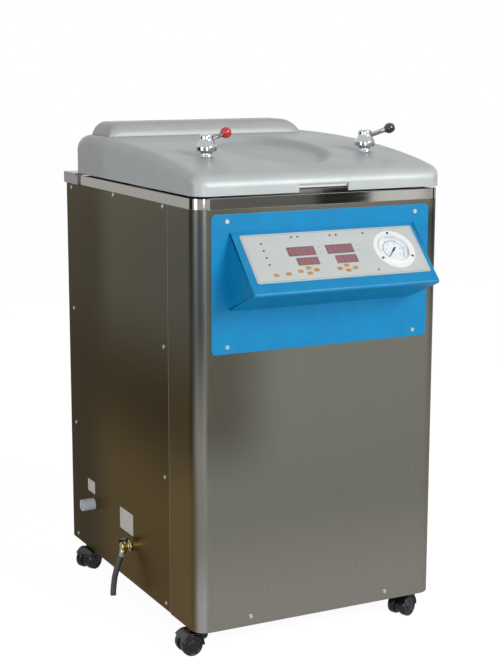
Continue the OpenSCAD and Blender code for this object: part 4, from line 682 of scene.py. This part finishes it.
# Console: folded wedge on a flange, hollow, with openings for the windows, keys, lamps and gauge
console = {"width": 386, "flange": (458, 254, 9), "flangeMiddle": 704, "fold": 800.5, "slope": (97, 97.5),
           "fillet": (3, 5, 5, 6, 3), "edge": 3.2, "sheet": 1.5,
           "side": [(1, 800.5), (-97, 703), (-100, 700), (-100, 695), (1, 654.5)],
           "hollow": [(2.5, 799.0), (-97, 703), (-99.5, 700), (-99.5, 695), (2.5, 656.0)],
           "play": 0.7, "keyHole": (10.7, 6.7), "lampHole": 2.2, "gaugeHole": 32.4, "cut": (-8, 4),
           "gaugeCut": (-9, 6), "flangeEdge": 0.7}
tilt = math.atan(console["slope"][1] / console["slope"][0])
faceAxes = ((1, 0, 0), (0, math.cos(tilt), math.sin(tilt)), (0, -math.sin(tilt), math.cos(tilt)))
facePlace = (0, 0, console["fold"])
windows = [(-67.5, 55, 56, 20), (12.4, 55, 56, 20), (-62, 78, 44, 16.5), (18.2, 78.5, 44.5, 17.5)]
keys = [(-85, 99), (-67, 93), (-52, 98.5), (-68, 104.6), (-4, 99), (12, 93), (28, 99.7), (11.5, 104.3),
        (-136, 104), (-111, 103)]
lamps = [(-141.5, 33), (-141.5, 49), (-141.5, 65), (-141.5, 80.6), (-76, 22), (-63, 22), (4, 23), (17, 23),
         (74, 23), (74, 108)]
gaugeSpot = (125, 65)
tiny, crisp = (0.01, 0.01), (0.02, 0.02)  # edges too small to see


# Part made in the sloping face's own frame: x across, y up the slope, z out of the face
def onFace(part, x=0.0, down=0.0):
    points = np.asarray(part[0]) + (x, -down, 0)
    return (points @ np.array(faceAxes) + facePlace, *part[1:])


def box(w, d, z0, z1):
    return slab(outline(w, d, 0.01, 2), z0, z1, tiny, 2)


def cutAway(piece, parts):
    tool = makePiece("cutter", parts, "bluePaint", "blue_paint")
    piece.modifiers.clear()
    cut = piece.modifiers.new("cut", "BOOLEAN")
    cut.operation, cut.object, cut.solver = "DIFFERENCE", tool, "EXACT"
    mesh = bpy.data.meshes.new_from_object(piece.evaluated_get(bpy.context.evaluated_depsgraph_get()))
    piece.modifiers.clear()
    old, piece.data = piece.data, mesh
    mesh.name = piece.name
    bpy.data.meshes.remove(old)
    bpy.data.objects.remove(tool)
    shadeFaces(piece, joining["sharp"])


def makeConsole(v):
    half, t = v["width"] / 2, 2 * v["sheet"]
    body = makePiece("consoleShell", [prism(softLine(v["side"], v["fillet"], 6), -half, half, v["edge"], 6)],
                     "bluePaint", "blue_paint", ["console_housing"])
    hollow = drawnIn(np.array(v["hollow"]), [t])[0]
    cutAway(body, [prism(hollow, -half + t, half - t, tiny[0], 2)])
    holes = [onFace(box(w + v["play"], h + v["play"], *v["cut"]), x, s) for x, s, w, h in windows]
    holes += [onFace(box(*v["keyHole"], *v["cut"]), *k) for k in keys]
    holes += [onFace(rod(v["lampHole"], *v["cut"], 16), *p) for p in lamps]
    holes += [onFace(rod(v["gaugeHole"], *v["gaugeCut"], 64), *gaugeSpot)]
    cutAway(body, holes)
    flange = slab(outline(*v["flange"], 9), 0, v["sheet"], (tiny[0], v["flangeEdge"]), 4)
    standing = ((1, 0, 0), (0, 0, 1), (0, -1, 0))
    makePiece("consoleFlange", [put(flange, (0, 0, v["flangeMiddle"]), standing)], "bluePaint", "blue_paint")


makeConsole(console)

# Windows: slabs with rounded rims; lamps: small domes
pane = {"corner": 1.2, "rise": (-1.5, 0.6), "edges": (0.1, 0.3),
        "dome": [(0, -1.5), (1.9, -1.5), (1.9, 0.5), (1.5, 0.8), (0.8, 0.95), (0, 1.0)]}


def makeWindows(v):
    panes = [onFace(slab(outline(w, h, v["corner"], 4), *v["rise"], v["edges"], 3), x, s)
             for x, s, w, h in windows]
    domes = [withSlot(onFace(turned(v["dome"], 20), *p)) for p in lamps]
    makePiece("windowPanes", panes + domes, ("windowPlastic", "lampPlastic"), "window_red",
              ["display_windows"])


makeWindows(pane)

# Printing in thin raised ink: the label's border and dots, and the unlit digits' segments
printing = {"label": (2.5, 66, 356, 103, 3), "line": 0.5, "up": 0.6, "ink": (-0.1, 0.08, 0.1),
            "dots": [(-96, 49.5), (-96, 60), (-29, 49.5), (-29, 60), (-13.5, 49.5), (-13.5, 60),
                     (51.5, 49), (51.5, 59.5)],
            "dotR": 1.1, "digits": (4, 4, 3, 3), "stroke": 1.1, "digitShare": (0.56, 0.6),
            "digitUp": (0.5, 0.66), "barCorner": 0.3}


# Flat closed band between two outlines of the same number of points
def band(outer, inner, z0, z1):
    rows = [atHeight(*row) for row in ((outer, z0), (outer, z1), (inner, z1), (inner, z0))]
    return gridPart(np.stack(rows), ring=True, ends=False)


def makePrinting(v):
    x, down, w, h, r = v["label"]
    t, (low, lineUp, dotUp) = v["line"], (v["up"] + k for k in v["ink"])
    ink = [onFace(band(outline(w, h, r), outline(w - 2 * t, h - 2 * t, r - t), low, lineUp), x, down)]
    ink += [onFace(rod(v["dotR"], low, dotUp, 16), *p) for p in v["dots"]]
    makePiece("labelPrint", ink, "printGrey", "label")
    segments, s = [], v["stroke"]
    for (x, down, w, h), count in zip(windows, v["digits"]):
        cell = w / (count + 0.5)
        a, b = cell * v["digitShare"][0], h * v["digitShare"][1]
        for k in range(count):
            left = x + cell * (k - (count - 1) / 2)
            bars = [(0, q * b / 2, a - s, s) for q in (-1, 0, 1)]
            bars += [(p * a / 2, q * b / 4, s, b / 2 - s) for p in (-1, 1) for q in (-1, 1)]
            for p, q, u, t in bars:
                bar = slab(outline(u, t, v["barCorner"], 2), *v["digitUp"], crisp, 2)
                segments.append(onFace(bar, left + p, down - q))
    makePiece("digitSegments", segments, "digitGhost", "window_red")


makePrinting(printing)

# Keys: soft caps with a rounded rim, a foot, and a raised arrow or bar
keyCap = {"outline": (10, 6, 1.2, 5), "rise": (-1.5, 1.4), "edges": (0.2, 0.7), "foot": (2, -7.4, -1.4),
          "mark": (-0.2, 0.08), "turns": (90, 180, 270, 0, 90, 180, 270, 0, 0, 0),
          "arrow": [(-1.7, -1.0), (1.7, -1.0), (0, 1.4)], "bar": (4.4, 1.3, 0.6, 4), "arrows": 8}


def makeKeys(v):
    for i, (x, s) in enumerate(keys):
        cap = slab(outline(*v["outline"]), *v["rise"], v["edges"], 4)
        mark = np.array(v["arrow"]) if i < v["arrows"] else outline(*v["bar"])
        mark = mark @ np.array(spin(v["turns"][i]))[:2, :2]
        sign = withSlot(slab(mark, *(v["rise"][1] + k for k in v["mark"]), crisp, 2))
        parts = [onFace(p, x, s) for p in (cap, rod(*v["foot"], 16), sign)]
        node = f"key_{i + 1}"
        makePiece(f"keyCap{i + 1}", parts, ("keyRubber", "keyMark"), "key_tan", [node], body=node)


makeKeys(keyCap)

# Gauge: cup with a flange and bezel, screws, needle's pin and glass. Profiles are (radius, height
# over the face); "flange" is radius, low and high face, "bezel" radius, foot's width and top. The
# pipe runs from under the cup to the vessel's wall, whose middle along Y and radius are "vessel".
gauge = {"flange": (42.5, 0.6, 2.1), "bezel": (32, 1.6, 5), "dial": 29, "bore": 29.3, "well": -3,
         "depth": 34, "screwAt": 37, "screws": (90, 210, 330), "pin": (1, -3, 1), "glass": (2.4, 3.6, 3.8),
         "head": [(0, 1.6), (2.6, 1.6), (2.6, 2.7), (2.2, 3.2), (1.1, 3.4), (1.1, 2.8), (0, 2.8)],
         "union": [(0, -46), (6, -46), (7, -45), (7, -33), (0, -33)],
         "pipe": 4, "pipeFrom": -42, "tap": (100, 720.5), "vessel": (285, 193.3)}


def makeGauge(v):
    (r, foot, rim), (far, low, high) = v["bezel"], v["flange"]
    dial, bore, well = v["dial"], v["bore"], v["well"]
    cup = [lathe([(0, -v["depth"]), (r, -v["depth"]), (r, low), (far, low), (far, high), (r + foot, high),
                  (r, rim), (bore, rim), (bore, well), (0, well)],
                 (0, 0.5, 0.2, 0.3, 0.7, 0.8, 1.2, 0.8, 0.1, 0), 4, 96)]
    cup += [withSlot(put(turned(v["head"], 20), (*polar(v["screwAt"], angle), 0)))
            for angle in np.radians(v["screws"])]
    cup += [withSlot(rod(*v["pin"], 16)), turned(v["union"], 24)]
    cup = [onFace(p, *gaugeSpot) for p in cup]
    start = onFace((np.array([(0, 0, v["pipeFrom"])]), []), *gaugeSpot)[0]
    (x, z), (middle, wall) = v["tap"], v["vessel"]
    end = np.array([(x, middle - math.sqrt(wall ** 2 - (x - v["pipe"]) ** 2), z)])
    t = np.linspace(0, 1, 9)[:, None]
    cup.append(withSlot(tube(start * (1 - t) + end * t, v["pipe"], 12, (1, 0, 0))))
    makePiece("gaugeCup", cup, ("whiteEnamel", "darkSteel"), "white_enamel", ["gauge_case"])
    low, edge, high = v["glass"]
    glassPane = lathe([(0, low), (dial, low), (dial, edge), (dial * 0.5, high), (0, high)],
                      (0, 0.2, 0.4, 3, 0), 4, 64)
    makePiece("gaugePane", [onFace(glassPane, *gaugeSpot)], "gaugeGlass", "glass", ["gauge_glass"])


makeGauge(gauge)

# Dial print: an arc with ticks from lower left over the top to lower right, and plain numbers
dial = {"z": -2.0, "ink": (-0.1, 0.06), "arc": 20.5, "span": (225, -45), "steps": 50, "ticks": (22.6, 24.6),
        "numbers": 6, "numberAt": 15.2, "size": 6.0, "line": 0.8, "tickWidths": (0.4, 0.9)}


# Flat text as a part, centred
def flatText(text, size):
    curve = bpy.data.curves.new("number", "FONT")
    curve.body, curve.size, curve.align_x, curve.align_y = text, size, "CENTER", "CENTER"
    carrier = addObject("number", curve)
    mesh = bpy.data.meshes.new_from_object(carrier.evaluated_get(bpy.context.evaluated_depsgraph_get()))
    points = np.array([v.co[:] for v in mesh.vertices])
    faces = [list(f.vertices) for f in mesh.polygons]
    bpy.data.objects.remove(carrier)
    bpy.data.meshes.remove(mesh)
    bpy.data.curves.remove(curve)
    return points, faces


def makeDialPrint(v):
    low, high = (v["z"] + k for k in v["ink"])
    inner, outer = v["arc"], v["arc"] + v["line"]
    t = np.radians(np.linspace(*v["span"], 73))[:, None]
    rise = np.broadcast_to(np.array([low, low, high, high])[None, :, None], (len(t), 4, 1))
    parts = [gridPart(np.concatenate([polar(np.array([[inner, outer, outer, inner]]), t), rise], -1))]
    for k, angle in enumerate(np.linspace(*v["span"], v["steps"] + 1)):
        main = k % (v["steps"] // (v["numbers"] - 1)) == 0
        far, width = v["ticks"][main], v["tickWidths"][main]
        bar = slab(outline(far - v["arc"], width, 0.05, 2), low, high, tiny, 2)
        parts.append(put(put(bar, ((far + v["arc"]) / 2, 0, 0)), axes=spin(angle)))
    for k, angle in enumerate(np.radians(np.linspace(*v["span"], v["numbers"]))):
        parts.append(put(flatText(str(k), v["size"]), (*polar(v["numberAt"], angle), high)))
    makePiece("dialPrint", [onFace(p, *gaugeSpot) for p in parts], "dialBlack", "white_enamel")


makeDialPrint(dial)
print("console made")

# Valves: turned body with a slot for the lever, lever with its knob
valve = {"x": 171, "y": 139, "z": 922.9, "slotX": 2.7, "slotHalf": 3.4, "slotUp": 23, "leverAt": (7, 0, 30),
         "shank": 8, "shankFoot": 904.5, "sides": 57,
         "body": [(12.0, -0.4), (12.35, 0.4), (11.9, 2.4), (11.2, 3.8), (10.9, 5), (10.9, 7.4), (11.8, 8.6),
                  (18.2, 10.6), (19.3, 11.4), (19.5, 12.4), (19.5, 18.8), (19.1, 20.2), (17.6, 23),
                  (14.4, 29), (13.5, 31), (13.0, 33), (12.8, 38.4), (12.3, 40.2), (11.2, 41.4), (9.8, 42)]}


# Ring at a height: an arc and the slot's three sides, which lie on the arc below the slot
def slottedRing(r, z, v, cut):
    half = math.asin(min(1, v["slotHalf"] / r))
    arc = polar(r, np.linspace(half, 2 * math.pi - half, v["sides"]))
    if cut:
        middle = (r + v["slotX"]) / 2
        x = np.concatenate([[middle], np.full(7, v["slotX"]), [middle]])
        y = np.concatenate([[-1], np.linspace(-1, 1, 7), [1]]) * v["slotHalf"]
        side = np.stack([x, y], 1)
    else:
        side = polar(r, np.linspace(-half, half, 11)[1:-1])
    return atHeight(np.concatenate([arc, side]), z)


def makeValve(name, x, node, v):
    line = softLine(v["body"], 0.6, 3, closed=False)
    r = np.interp(v["slotUp"], line[:, 1], line[:, 0])
    rings = [slottedRing(*p, v, False) for p in line if p[1] < v["slotUp"]]
    rings += [slottedRing(r, v["slotUp"], v, cut) for cut in (False, True)]
    rings += [slottedRing(*p, v, True) for p in line if p[1] >= v["slotUp"]]
    parts = [put(gridPart(np.stack(rings)), (x, v["y"], v["z"])),
             put(rod(v["shank"], v["shankFoot"], v["z"] + 1, 32), (x, v["y"], 0))]
    makePiece(name, parts, "chrome", "polished", [node], body="lid", sharp=28)


makeValve("exhaustValveBody", -valve["x"], "exhaust_valve", valve)
makeValve("safetyValveBody", valve["x"], "safety_valve", valve)

# Knobs are given as distances along the lever and radii
halfTurn = np.linspace(-quarterTurn, quarterTurn, 29)
levers = {
    "exhaustLever": dict(
        x=-valve["x"], tilt=23, knob=(35.5 + 11 * np.sin(halfTurn), 11 * np.cos(halfTurn)),
        rod=[(0, 1), (2.6, 1), (2.8, 3), (2.8, 17), (3.4, 20), (4.0, 23), (4.2, 26), (0, 26)],
        finish="redBall", body="exhaust_lever", slot="red_ball"),
    "safetyLever": dict(
        x=valve["x"], tilt=16, bar=(9, 6, 41), rod=[(0, 30), (3.4, 30), (3.4, 41), (0, 41)],
        knob=([38, 38, 38.7, 40.6, 41.6, 43.4, 46, 49.5, 53, 56, 58.6, 60.2, 60.9, 61],
              [0, 4.6, 5.2, 5.4, 6.4, 8.0, 9.5, 10.3, 10.1, 9.4, 8.0, 6.0, 4.0, 0]),
        finish="blackKnob", body="safety_lever", slot="black_gloss"),
}
crossPins = [([(0, -3), (3.1, -3), (3.5, -2.6), (3.5, 2.6), (3.1, 3), (0, 3)], 28),
             ([(0, -12), (1.2, -12), (1.5, -11.6), (1.5, 11.6), (1.2, 12), (0, 12)], 16)]


def makeLever(name, v):
    c, s = math.cos(math.radians(v["tilt"])), math.sin(math.radians(v["tilt"]))
    axes = ((s, 0, -c), (0, 1, 0), (c, 0, s))
    place = np.array((v["x"], valve["y"], valve["z"])) + valve["leverAt"]
    parts = [put(lathe(v["rod"], 0.5, 3, 24), place, axes)]
    if "bar" in v:
        tall, wide, length = v["bar"]
        parts.append(put(slab(outline(tall, wide, 1.4, 4), 0, length, (0.6, 0.3)), place, axes))
    parts += [put(turned(*pin), place, alongY) for pin in crossPins]
    along, radius = v["knob"]
    parts.append(withSlot(put(turned(np.stack([radius, along], 1), 40), place, axes)))
    makePiece(name, parts, ("leverSteel", v["finish"]), v["slot"], [v["body"]], body=v["body"], sharp=40)


for name, values in levers.items():
    makeLever(name, values)

# Grip plate behind the finger notch: an L of bright sheet with rounded folds
grip = {"half": 56, "folds": (1.6, 0.8, 0.8, 0.4, 0.8, 0.8),
        "line": [(3.2, 871.5), (17.9, 871.5), (17.9, 873.5), (5.2, 873.5), (5.2, 883.5), (3.2, 883.5)]}
makePiece("gripPlate", [prism(softLine(grip["line"], grip["folds"], 4), -grip["half"], grip["half"])],
          "gripSteel", "polished", ["lid_grip"], body="lid")
print("lid fittings made")

# Casters: hood with web, boss and stem; two wheels on one axle. "block" joins web and boss: how much
# longer than the trail, corner, how far below the top. "cheek" closes the hood between boss and
# shell: length, corner, from, to, how far ahead of the stem.
caster = {"wheel": 21, "wide": 14, "web": 11, "gap": 1.4, "hood": 2.3, "trail": 26, "top": 50.5,
          "boss": [(0, 27), (11, 27), (13, 31), (13, 50.1), (0, 50.1)],
          "stem": [(0, 47), (5.5, 47), (5.5, 75), (0, 75)],
          "block": (6, 2.5, 3), "cheek": (20, 6, 40.5, 48.3, 8),
          "arc": (36, 184), "sag": 0.6, "sagReach": 6, "axle": (3, 13.5),
          "places": [(-232, 42, 180), (232, 42, 205), (-232, 585, 210), (232, 585, 215)]}


# Hood's shell: a thin rounded section carried round the wheels from ahead of the top to behind
def hoodShell(v):
    r0, t, w = v["wheel"] + v["gap"], v["hood"], 2 * v["wide"] + v["web"] + 2 * v["gap"]
    line = softLine([(-w / 2, 0), (w / 2, 0), (w / 2, t), (-w / 2, t)], (0.7, 0.7, 1.2, 1.2), 4)
    sag = np.clip((np.abs(line[:, 0]) - w / 2) / v["sagReach"] + 1, 0, 1) ** 2 * v["sag"]
    a = np.radians(np.linspace(*v["arc"], 40))[:, None]
    r = np.broadcast_to(r0 + line[None, :, 1] - sag[None], (len(a), len(line)))
    return gridPart(np.stack([v["trail"] + r * np.cos(a), np.broadcast_to(line[None, :, 0], r.shape),
                              v["wheel"] + r * np.sin(a)], -1))


def makeCaster(i, v):
    x, y, turn = v["places"][i - 1]
    r, w, web, trail = v["wheel"], v["wide"], v["web"], v["trail"]
    hub, (longer, corner, lower) = (trail, 0, r), v["block"]
    disc = lathe([(0, -web / 2), (r - 3, -web / 2), (r - 3, web / 2), (0, web / 2)], (0, 1, 1, 0), 4, 40)
    block = slab(outline(trail + longer, web, corner), r, v["top"] - lower, (1, 1))
    block = put(block, (trail / 2 - 2, 0, 0))
    boss, stem = lathe(v["boss"], (0, 1, 2, 1, 0), 4, 40), lathe(v["stem"], (0, 0.1, 1, 0), 3, 24)
    length, corner, low, high, ahead = v["cheek"]
    cheek = put(slab(outline(length, 2 * w + web - 3, corner), low, high, (1, 1.5)), (ahead, 0, 0))
    hood = [hoodShell(v), put(disc, hub, alongY), block, boss, cheek, withSlot(stem)]
    tread = lathe([(0, 0), (r - 0.5, 0), (r, w / 2), (r - 0.8, w), (r - 4, w), (r - 5, w - 2), (9.6, w - 2),
                   (8.8, w - 0.6), (3.2, w), (3.0, w - 1), (0, w - 1)],
                  (0, 1.5, 6, 2.0, 1, 0.6, 0.6, 1.0, 0.6, 0.2, 0), 5, 56)
    wheels = [(tread[0] * (1, 1, s) + (0, 0, s * (web / 2 + 1)), tread[1]) for s in (-1, 1)]
    axleR, axleHalf = v["axle"]
    wheels = [put(p, hub, alongY) for p in (*wheels, withSlot(rod(axleR, -axleHalf, axleHalf, 20)))]
    for kind, parts, body, finish in (("Hood", hood, "caster_", "blackNylon"),
                                      ("Wheels", wheels, "wheels_", "wheelNylon")):
        makePiece(f"caster{kind}{i}", [put(p, (x, y, 0), spin(turn)) for p in parts], (finish, "barSteel"),
                  "black_plastic", [f"caster_{kind.lower()}_{i}"], body=body + str(i))


for i in range(1, 5):
    makeCaster(i, caster)
print("casters made")

# Exhaust pipe: plain plastic tube with a softened end, and its nut inside the panel
pipe = {"y": 524, "z": 159, "r": 12.5, "bore": 9.5, "out": -287, "in": -223.05, "nut": (-258.2, 7, 18)}


def makePipe(v):
    r, bore, x0, x1 = v["r"], v["bore"], v["out"], v["in"]
    wall = turned(softLine([(bore, x0), (r, x0), (r, x1), (bore, x1)], (0.8, 0.8, 0.3, 0.3), 4), closed=True)
    at, length, wide = v["nut"]
    nut = turned(softLine([(r - 0.5, at), (wide, at), (wide, at + length), (r - 0.5, at + length)],
                          (0.1, 1, 1, 0.1), 3), 6, closed=True)
    parts = [put(p, (0, v["y"], v["z"]), alongX) for p in (wall, nut)]
    makePiece("exhaustPipe", parts, "pipePlastic", "pvc", ["exhaust_outlet"])


makePipe(pipe)

# Drain valve: turned brass body with a hexagon nut, an elbow down to a pale tail, and its handle.
# Elbow and tail are given as (step in X, height, radius), the other profiles as (radius, station).
drain = {"x": -272, "y": 318, "z": 128, "shank": (8.6, -265, -257.1),
         "body": [(0, -9.5), (7.6, -9.5), (9, -8), (9, -4.5), (8.2, -3.5), (8.2, 3.5), (9, 4.5), (9, 8),
                  (7.6, 9.5), (0, 9.5)],
         "bodySoft": (0, 0.5, 0.5, 0.4, 0.4, 0.4, 0.4, 0.5, 0.5, 0),
         "nut": [(0, -264.3), (11.2, -264.3), (12, -263.6), (12, -261), (11.2, -260.3), (0, -260.3)],
         "collar": [(0, 0), (4.5, 0), (4.5, 9.8), (4, 10.5), (2.2, 10.5), (2.2, 8), (0, 8)],
         "elbow": [(0, 128, 7.2), (-2.5, 123, 7.2), (-5.5, 118, 7.1), (-7.4, 115, 6.2)],
         "tail": [(-6.8, 116, 5.6), (-8.4, 111, 5.8), (-9.9, 106.2, 5.0), (-13, 97, 4.0)],
         "hub": [(0, 10.8), (5.2, 10.8), (6, 12), (6, 16), (4.6, 17.8), (0, 17.8)],
         "arm": (23, 8, 3.9, 8), "armRise": (12.3, 16.3), "armAt": -7.4, "pin": (2, 3, 11)}


def makeDrain(v):
    middle = (v["x"], v["y"], v["z"])
    shank, nut = rod(*v["shank"], 32), lathe(v["nut"], (0, 0.2, 0.2, 0.2, 0.2, 0), 2, 6)
    parts = [put(lathe(v["body"], v["bodySoft"], 3, 40), middle, alongX)]
    parts += [put(p, (0, v["y"], v["z"]), alongX) for p in (shank, nut)]
    parts.append(put(turned(v["collar"], 24), middle))
    elbow, tail = (tube([(v["x"] + dx, v["y"], z) for dx, z, _ in v[name]], [r for *_, r in v[name]], 24)
                   for name in ("elbow", "tail"))
    parts += [elbow, withSlot(tail)]
    makePiece("drainBody", parts, ("brass", "tailPlastic"), "brass", ["drain_valve"])
    hub = lathe(v["hub"], (0, 0.6, 0.8, 1.2, 1, 0), 4, 32)
    arm = put(slab(outline(*v["arm"]), *v["armRise"], (0.8, 1.0)), (v["armAt"], 0, 0))
    parts = [put(p, middle) for p in (hub, arm, rod(*v["pin"], 16))]
    makePiece("drainKnob", parts, "blackKnob", "handle_blue", ["drain_handle"], body="drain_handle")


makeDrain(drain)

# Two blank stickers on the left side: from and to along Y, from and to along Z
stickers = {"upper": (514, 555, 182, 209), "lower": (304, 373, 151, 196)}
film = {"corner": 2.5, "thick": 0.35, "edges": (0.05, 0.15)}
facingLeft = ((0, -1, 0), (0, 0, 1), (-1, 0, 0))
for name, (y0, y1, z0, z1) in stickers.items():
    sheet = slab(outline(y1 - y0, z1 - z0, film["corner"], 5), 0, film["thick"], film["edges"], 3)
    place = (-cabinet["width"] / 2, (y0 + y1) / 2, (z0 + z1) / 2)
    makePiece(f"{name}Sticker", [put(sheet, place, facingLeft)], "sticker", "label")
print("side fittings made")

# Finishes of the nodes that keep their own shape
nodeFinishes = {
    "framePaint": "frame", "sideSteel": "left_panel", "plainSteel": "right_panel rear_panel",
    "housingPaint": "hinge_housing", "screwSteel": "panel_screws", "jacketCloth": "insulation_jacket",
    "innerSteel": "chamber basket_stand basket pressure_door", "darkSteel": "heating_tubes lid_arms",
    "barSteel": "level_probes lock_ring torsion_bar hinge_brackets", "linerPlastic": "lid_liner",
    "silicone": "door_gasket", "labelFilm": "face_label", "boardGreen": "control_board",
    "dialWhite": "gauge_dial", "dialBlack": "gauge_needle", "tankPlastic": "condensate_tank",
    "copper": "steam_line", "electrics": "power_supply",
}
for finish, names in nodeFinishes.items():
    for name in names.split():
        mesh = nodes[name].data
        mesh.materials.clear()
        mesh.materials.append(made[finish])
print("nodes dressed")

# Lamps: place, size and power. Cards stand out of sight, darker than the world, and polished metal
# mirrors them: place of the middle, size, turn round Z, tone
light = {"key": ((1.5, -3.7, 2.5), 2.0, 105.0), "top": ((0.8, 0.2, 3.2), 2.4, 2.0),
         "front": ((-1.3, -3.4, 1.0), 0.9, 18.0), "left": ((-3.3, -1.0, 1.1), 1.6, 20.0)}
cards = {"lowFrontLeft": ((1.42, -3.5, 0.48), (0.80, 0.36), 0, 0.11),
         "lowFront": ((1.9, -3.51, 0.48), (0.4, 0.36), 0, 0.012),
         "lowFrontRight": ((2.24, -3.52, 0.48), (0.28, 0.36), 0, 0.6),
         "backLeft": ((-3.1, 1.3, 0.6), (2.0, 1.2), 60, 0.02),
         "left": ((-3.4, -1.9, 1.3), (0.5, 1.6), 115, 0.02),
         "right": ((3.3, -0.6, 0.9), (1.0, 1.6), 90, 0.02),
         "behind": ((-0.2, -4.4, 2.2), (0.7, 1.8), 0, 0.02)}
studio = {"world": 0.15, "floor": (243, 243, 243), "floorHalf": 14.0, "glow": (0.5, 1.34), "glowShare": 0.7,
          "aim": (0, 0, 0.55)}


def makeLamp(name, place, size, power):
    data = bpy.data.lights.new(name, "AREA")
    data.shape, data.size, data.energy = "DISK", size, power
    lamp = addObject(name, data)
    lamp.location = place
    lamp.rotation_mode = "QUATERNION"
    lamp.rotation_quaternion = (Vector(studio["aim"]) - Vector(place)).to_track_quat("-Z", "Y")
    lamp.visible_camera = False


for name, values in light.items():
    makeLamp(name + "Lamp", *values)


def seenRays(tree):
    path = newNode(tree, "LightPath").outputs
    both = calc(tree, "MAXIMUM", path["Is Camera Ray"], path["Is Glossy Ray"])
    return calc(tree, "MAXIMUM", both, path["Is Transmission Ray"])


# World: white where it is seen or mirrored, faint where it lights
def makeWorld(strength):
    world = bpy.data.worlds.new("studio")
    bpy.context.scene.world = world
    world.use_nodes = True
    tree = world.node_tree
    feed(tree, tree.nodes["Background"], {"Color": (1, 1, 1, 1),
                                          "Strength": remap(tree, seenRays(tree), 0, 1, strength, 1.0)})


# One flat face for the stage, outside the model, with a shader of its own
def stageFace(name, points, material, surface):
    tree = material.node_tree
    feed(tree, tree.nodes["Material Output"], {"Surface": surface})
    mesh = bpy.data.meshes.new(name)
    mesh.from_pydata(points, [], [list(range(len(points)))])
    mesh.materials.append(material)
    face = addObject(name, mesh)
    return face


# Floor: white to the camera where no shadow falls, plain pale paint for the light it gives back
def makeFloor(v):
    material, tree, shader, _ = newMaterial("floorPaint")
    feed(tree, shader, {"Base Color": linear(*v["floor"]), "Roughness": 0.9, "Specular IOR Level": 0.1})
    direct = newNode(tree, "LightPath").outputs["Is Camera Ray"]
    glow = newNode(tree, "Emission", {"Strength": remap(tree, direct, 0, 1, *v["glow"])}).outputs[0]
    share = calc(tree, "MULTIPLY", seenRays(tree), v["glowShare"])
    mix = newNode(tree, "MixShader", {0: share, 1: shader.outputs[0], 2: glow}).outputs[0]
    s = v["floorHalf"]
    stageFace("floor", [(-s, -s, 0), (s, -s, 0), (s, s, 0), (-s, s, 0)], material, mix)


# Cards: upright rounded panels that only mirrored rays see, each with its own even tone
def makeCard(name, place, size, turn, tone):
    material, tree, *_ = newMaterial(name)
    glow = newNode(tree, "Emission", {"Color": (tone, tone, tone, 1)}).outputs[0]
    line = outline(*size, 0.02, 3)
    points = np.column_stack([line[:, 0], 0 * line[:, 0], line[:, 1]]) @ np.array(spin(turn)) + place
    card = stageFace(name, points.tolist(), material, glow)
    card.visible_camera = card.visible_diffuse = card.visible_shadow = card.visible_transmission = False


makeWorld(studio["world"])
makeFloor(studio)
for name, values in cards.items():
    makeCard(name + "Card", *values)
bpy.context.scene.view_settings.view_transform = "Standard"
print("studio made")
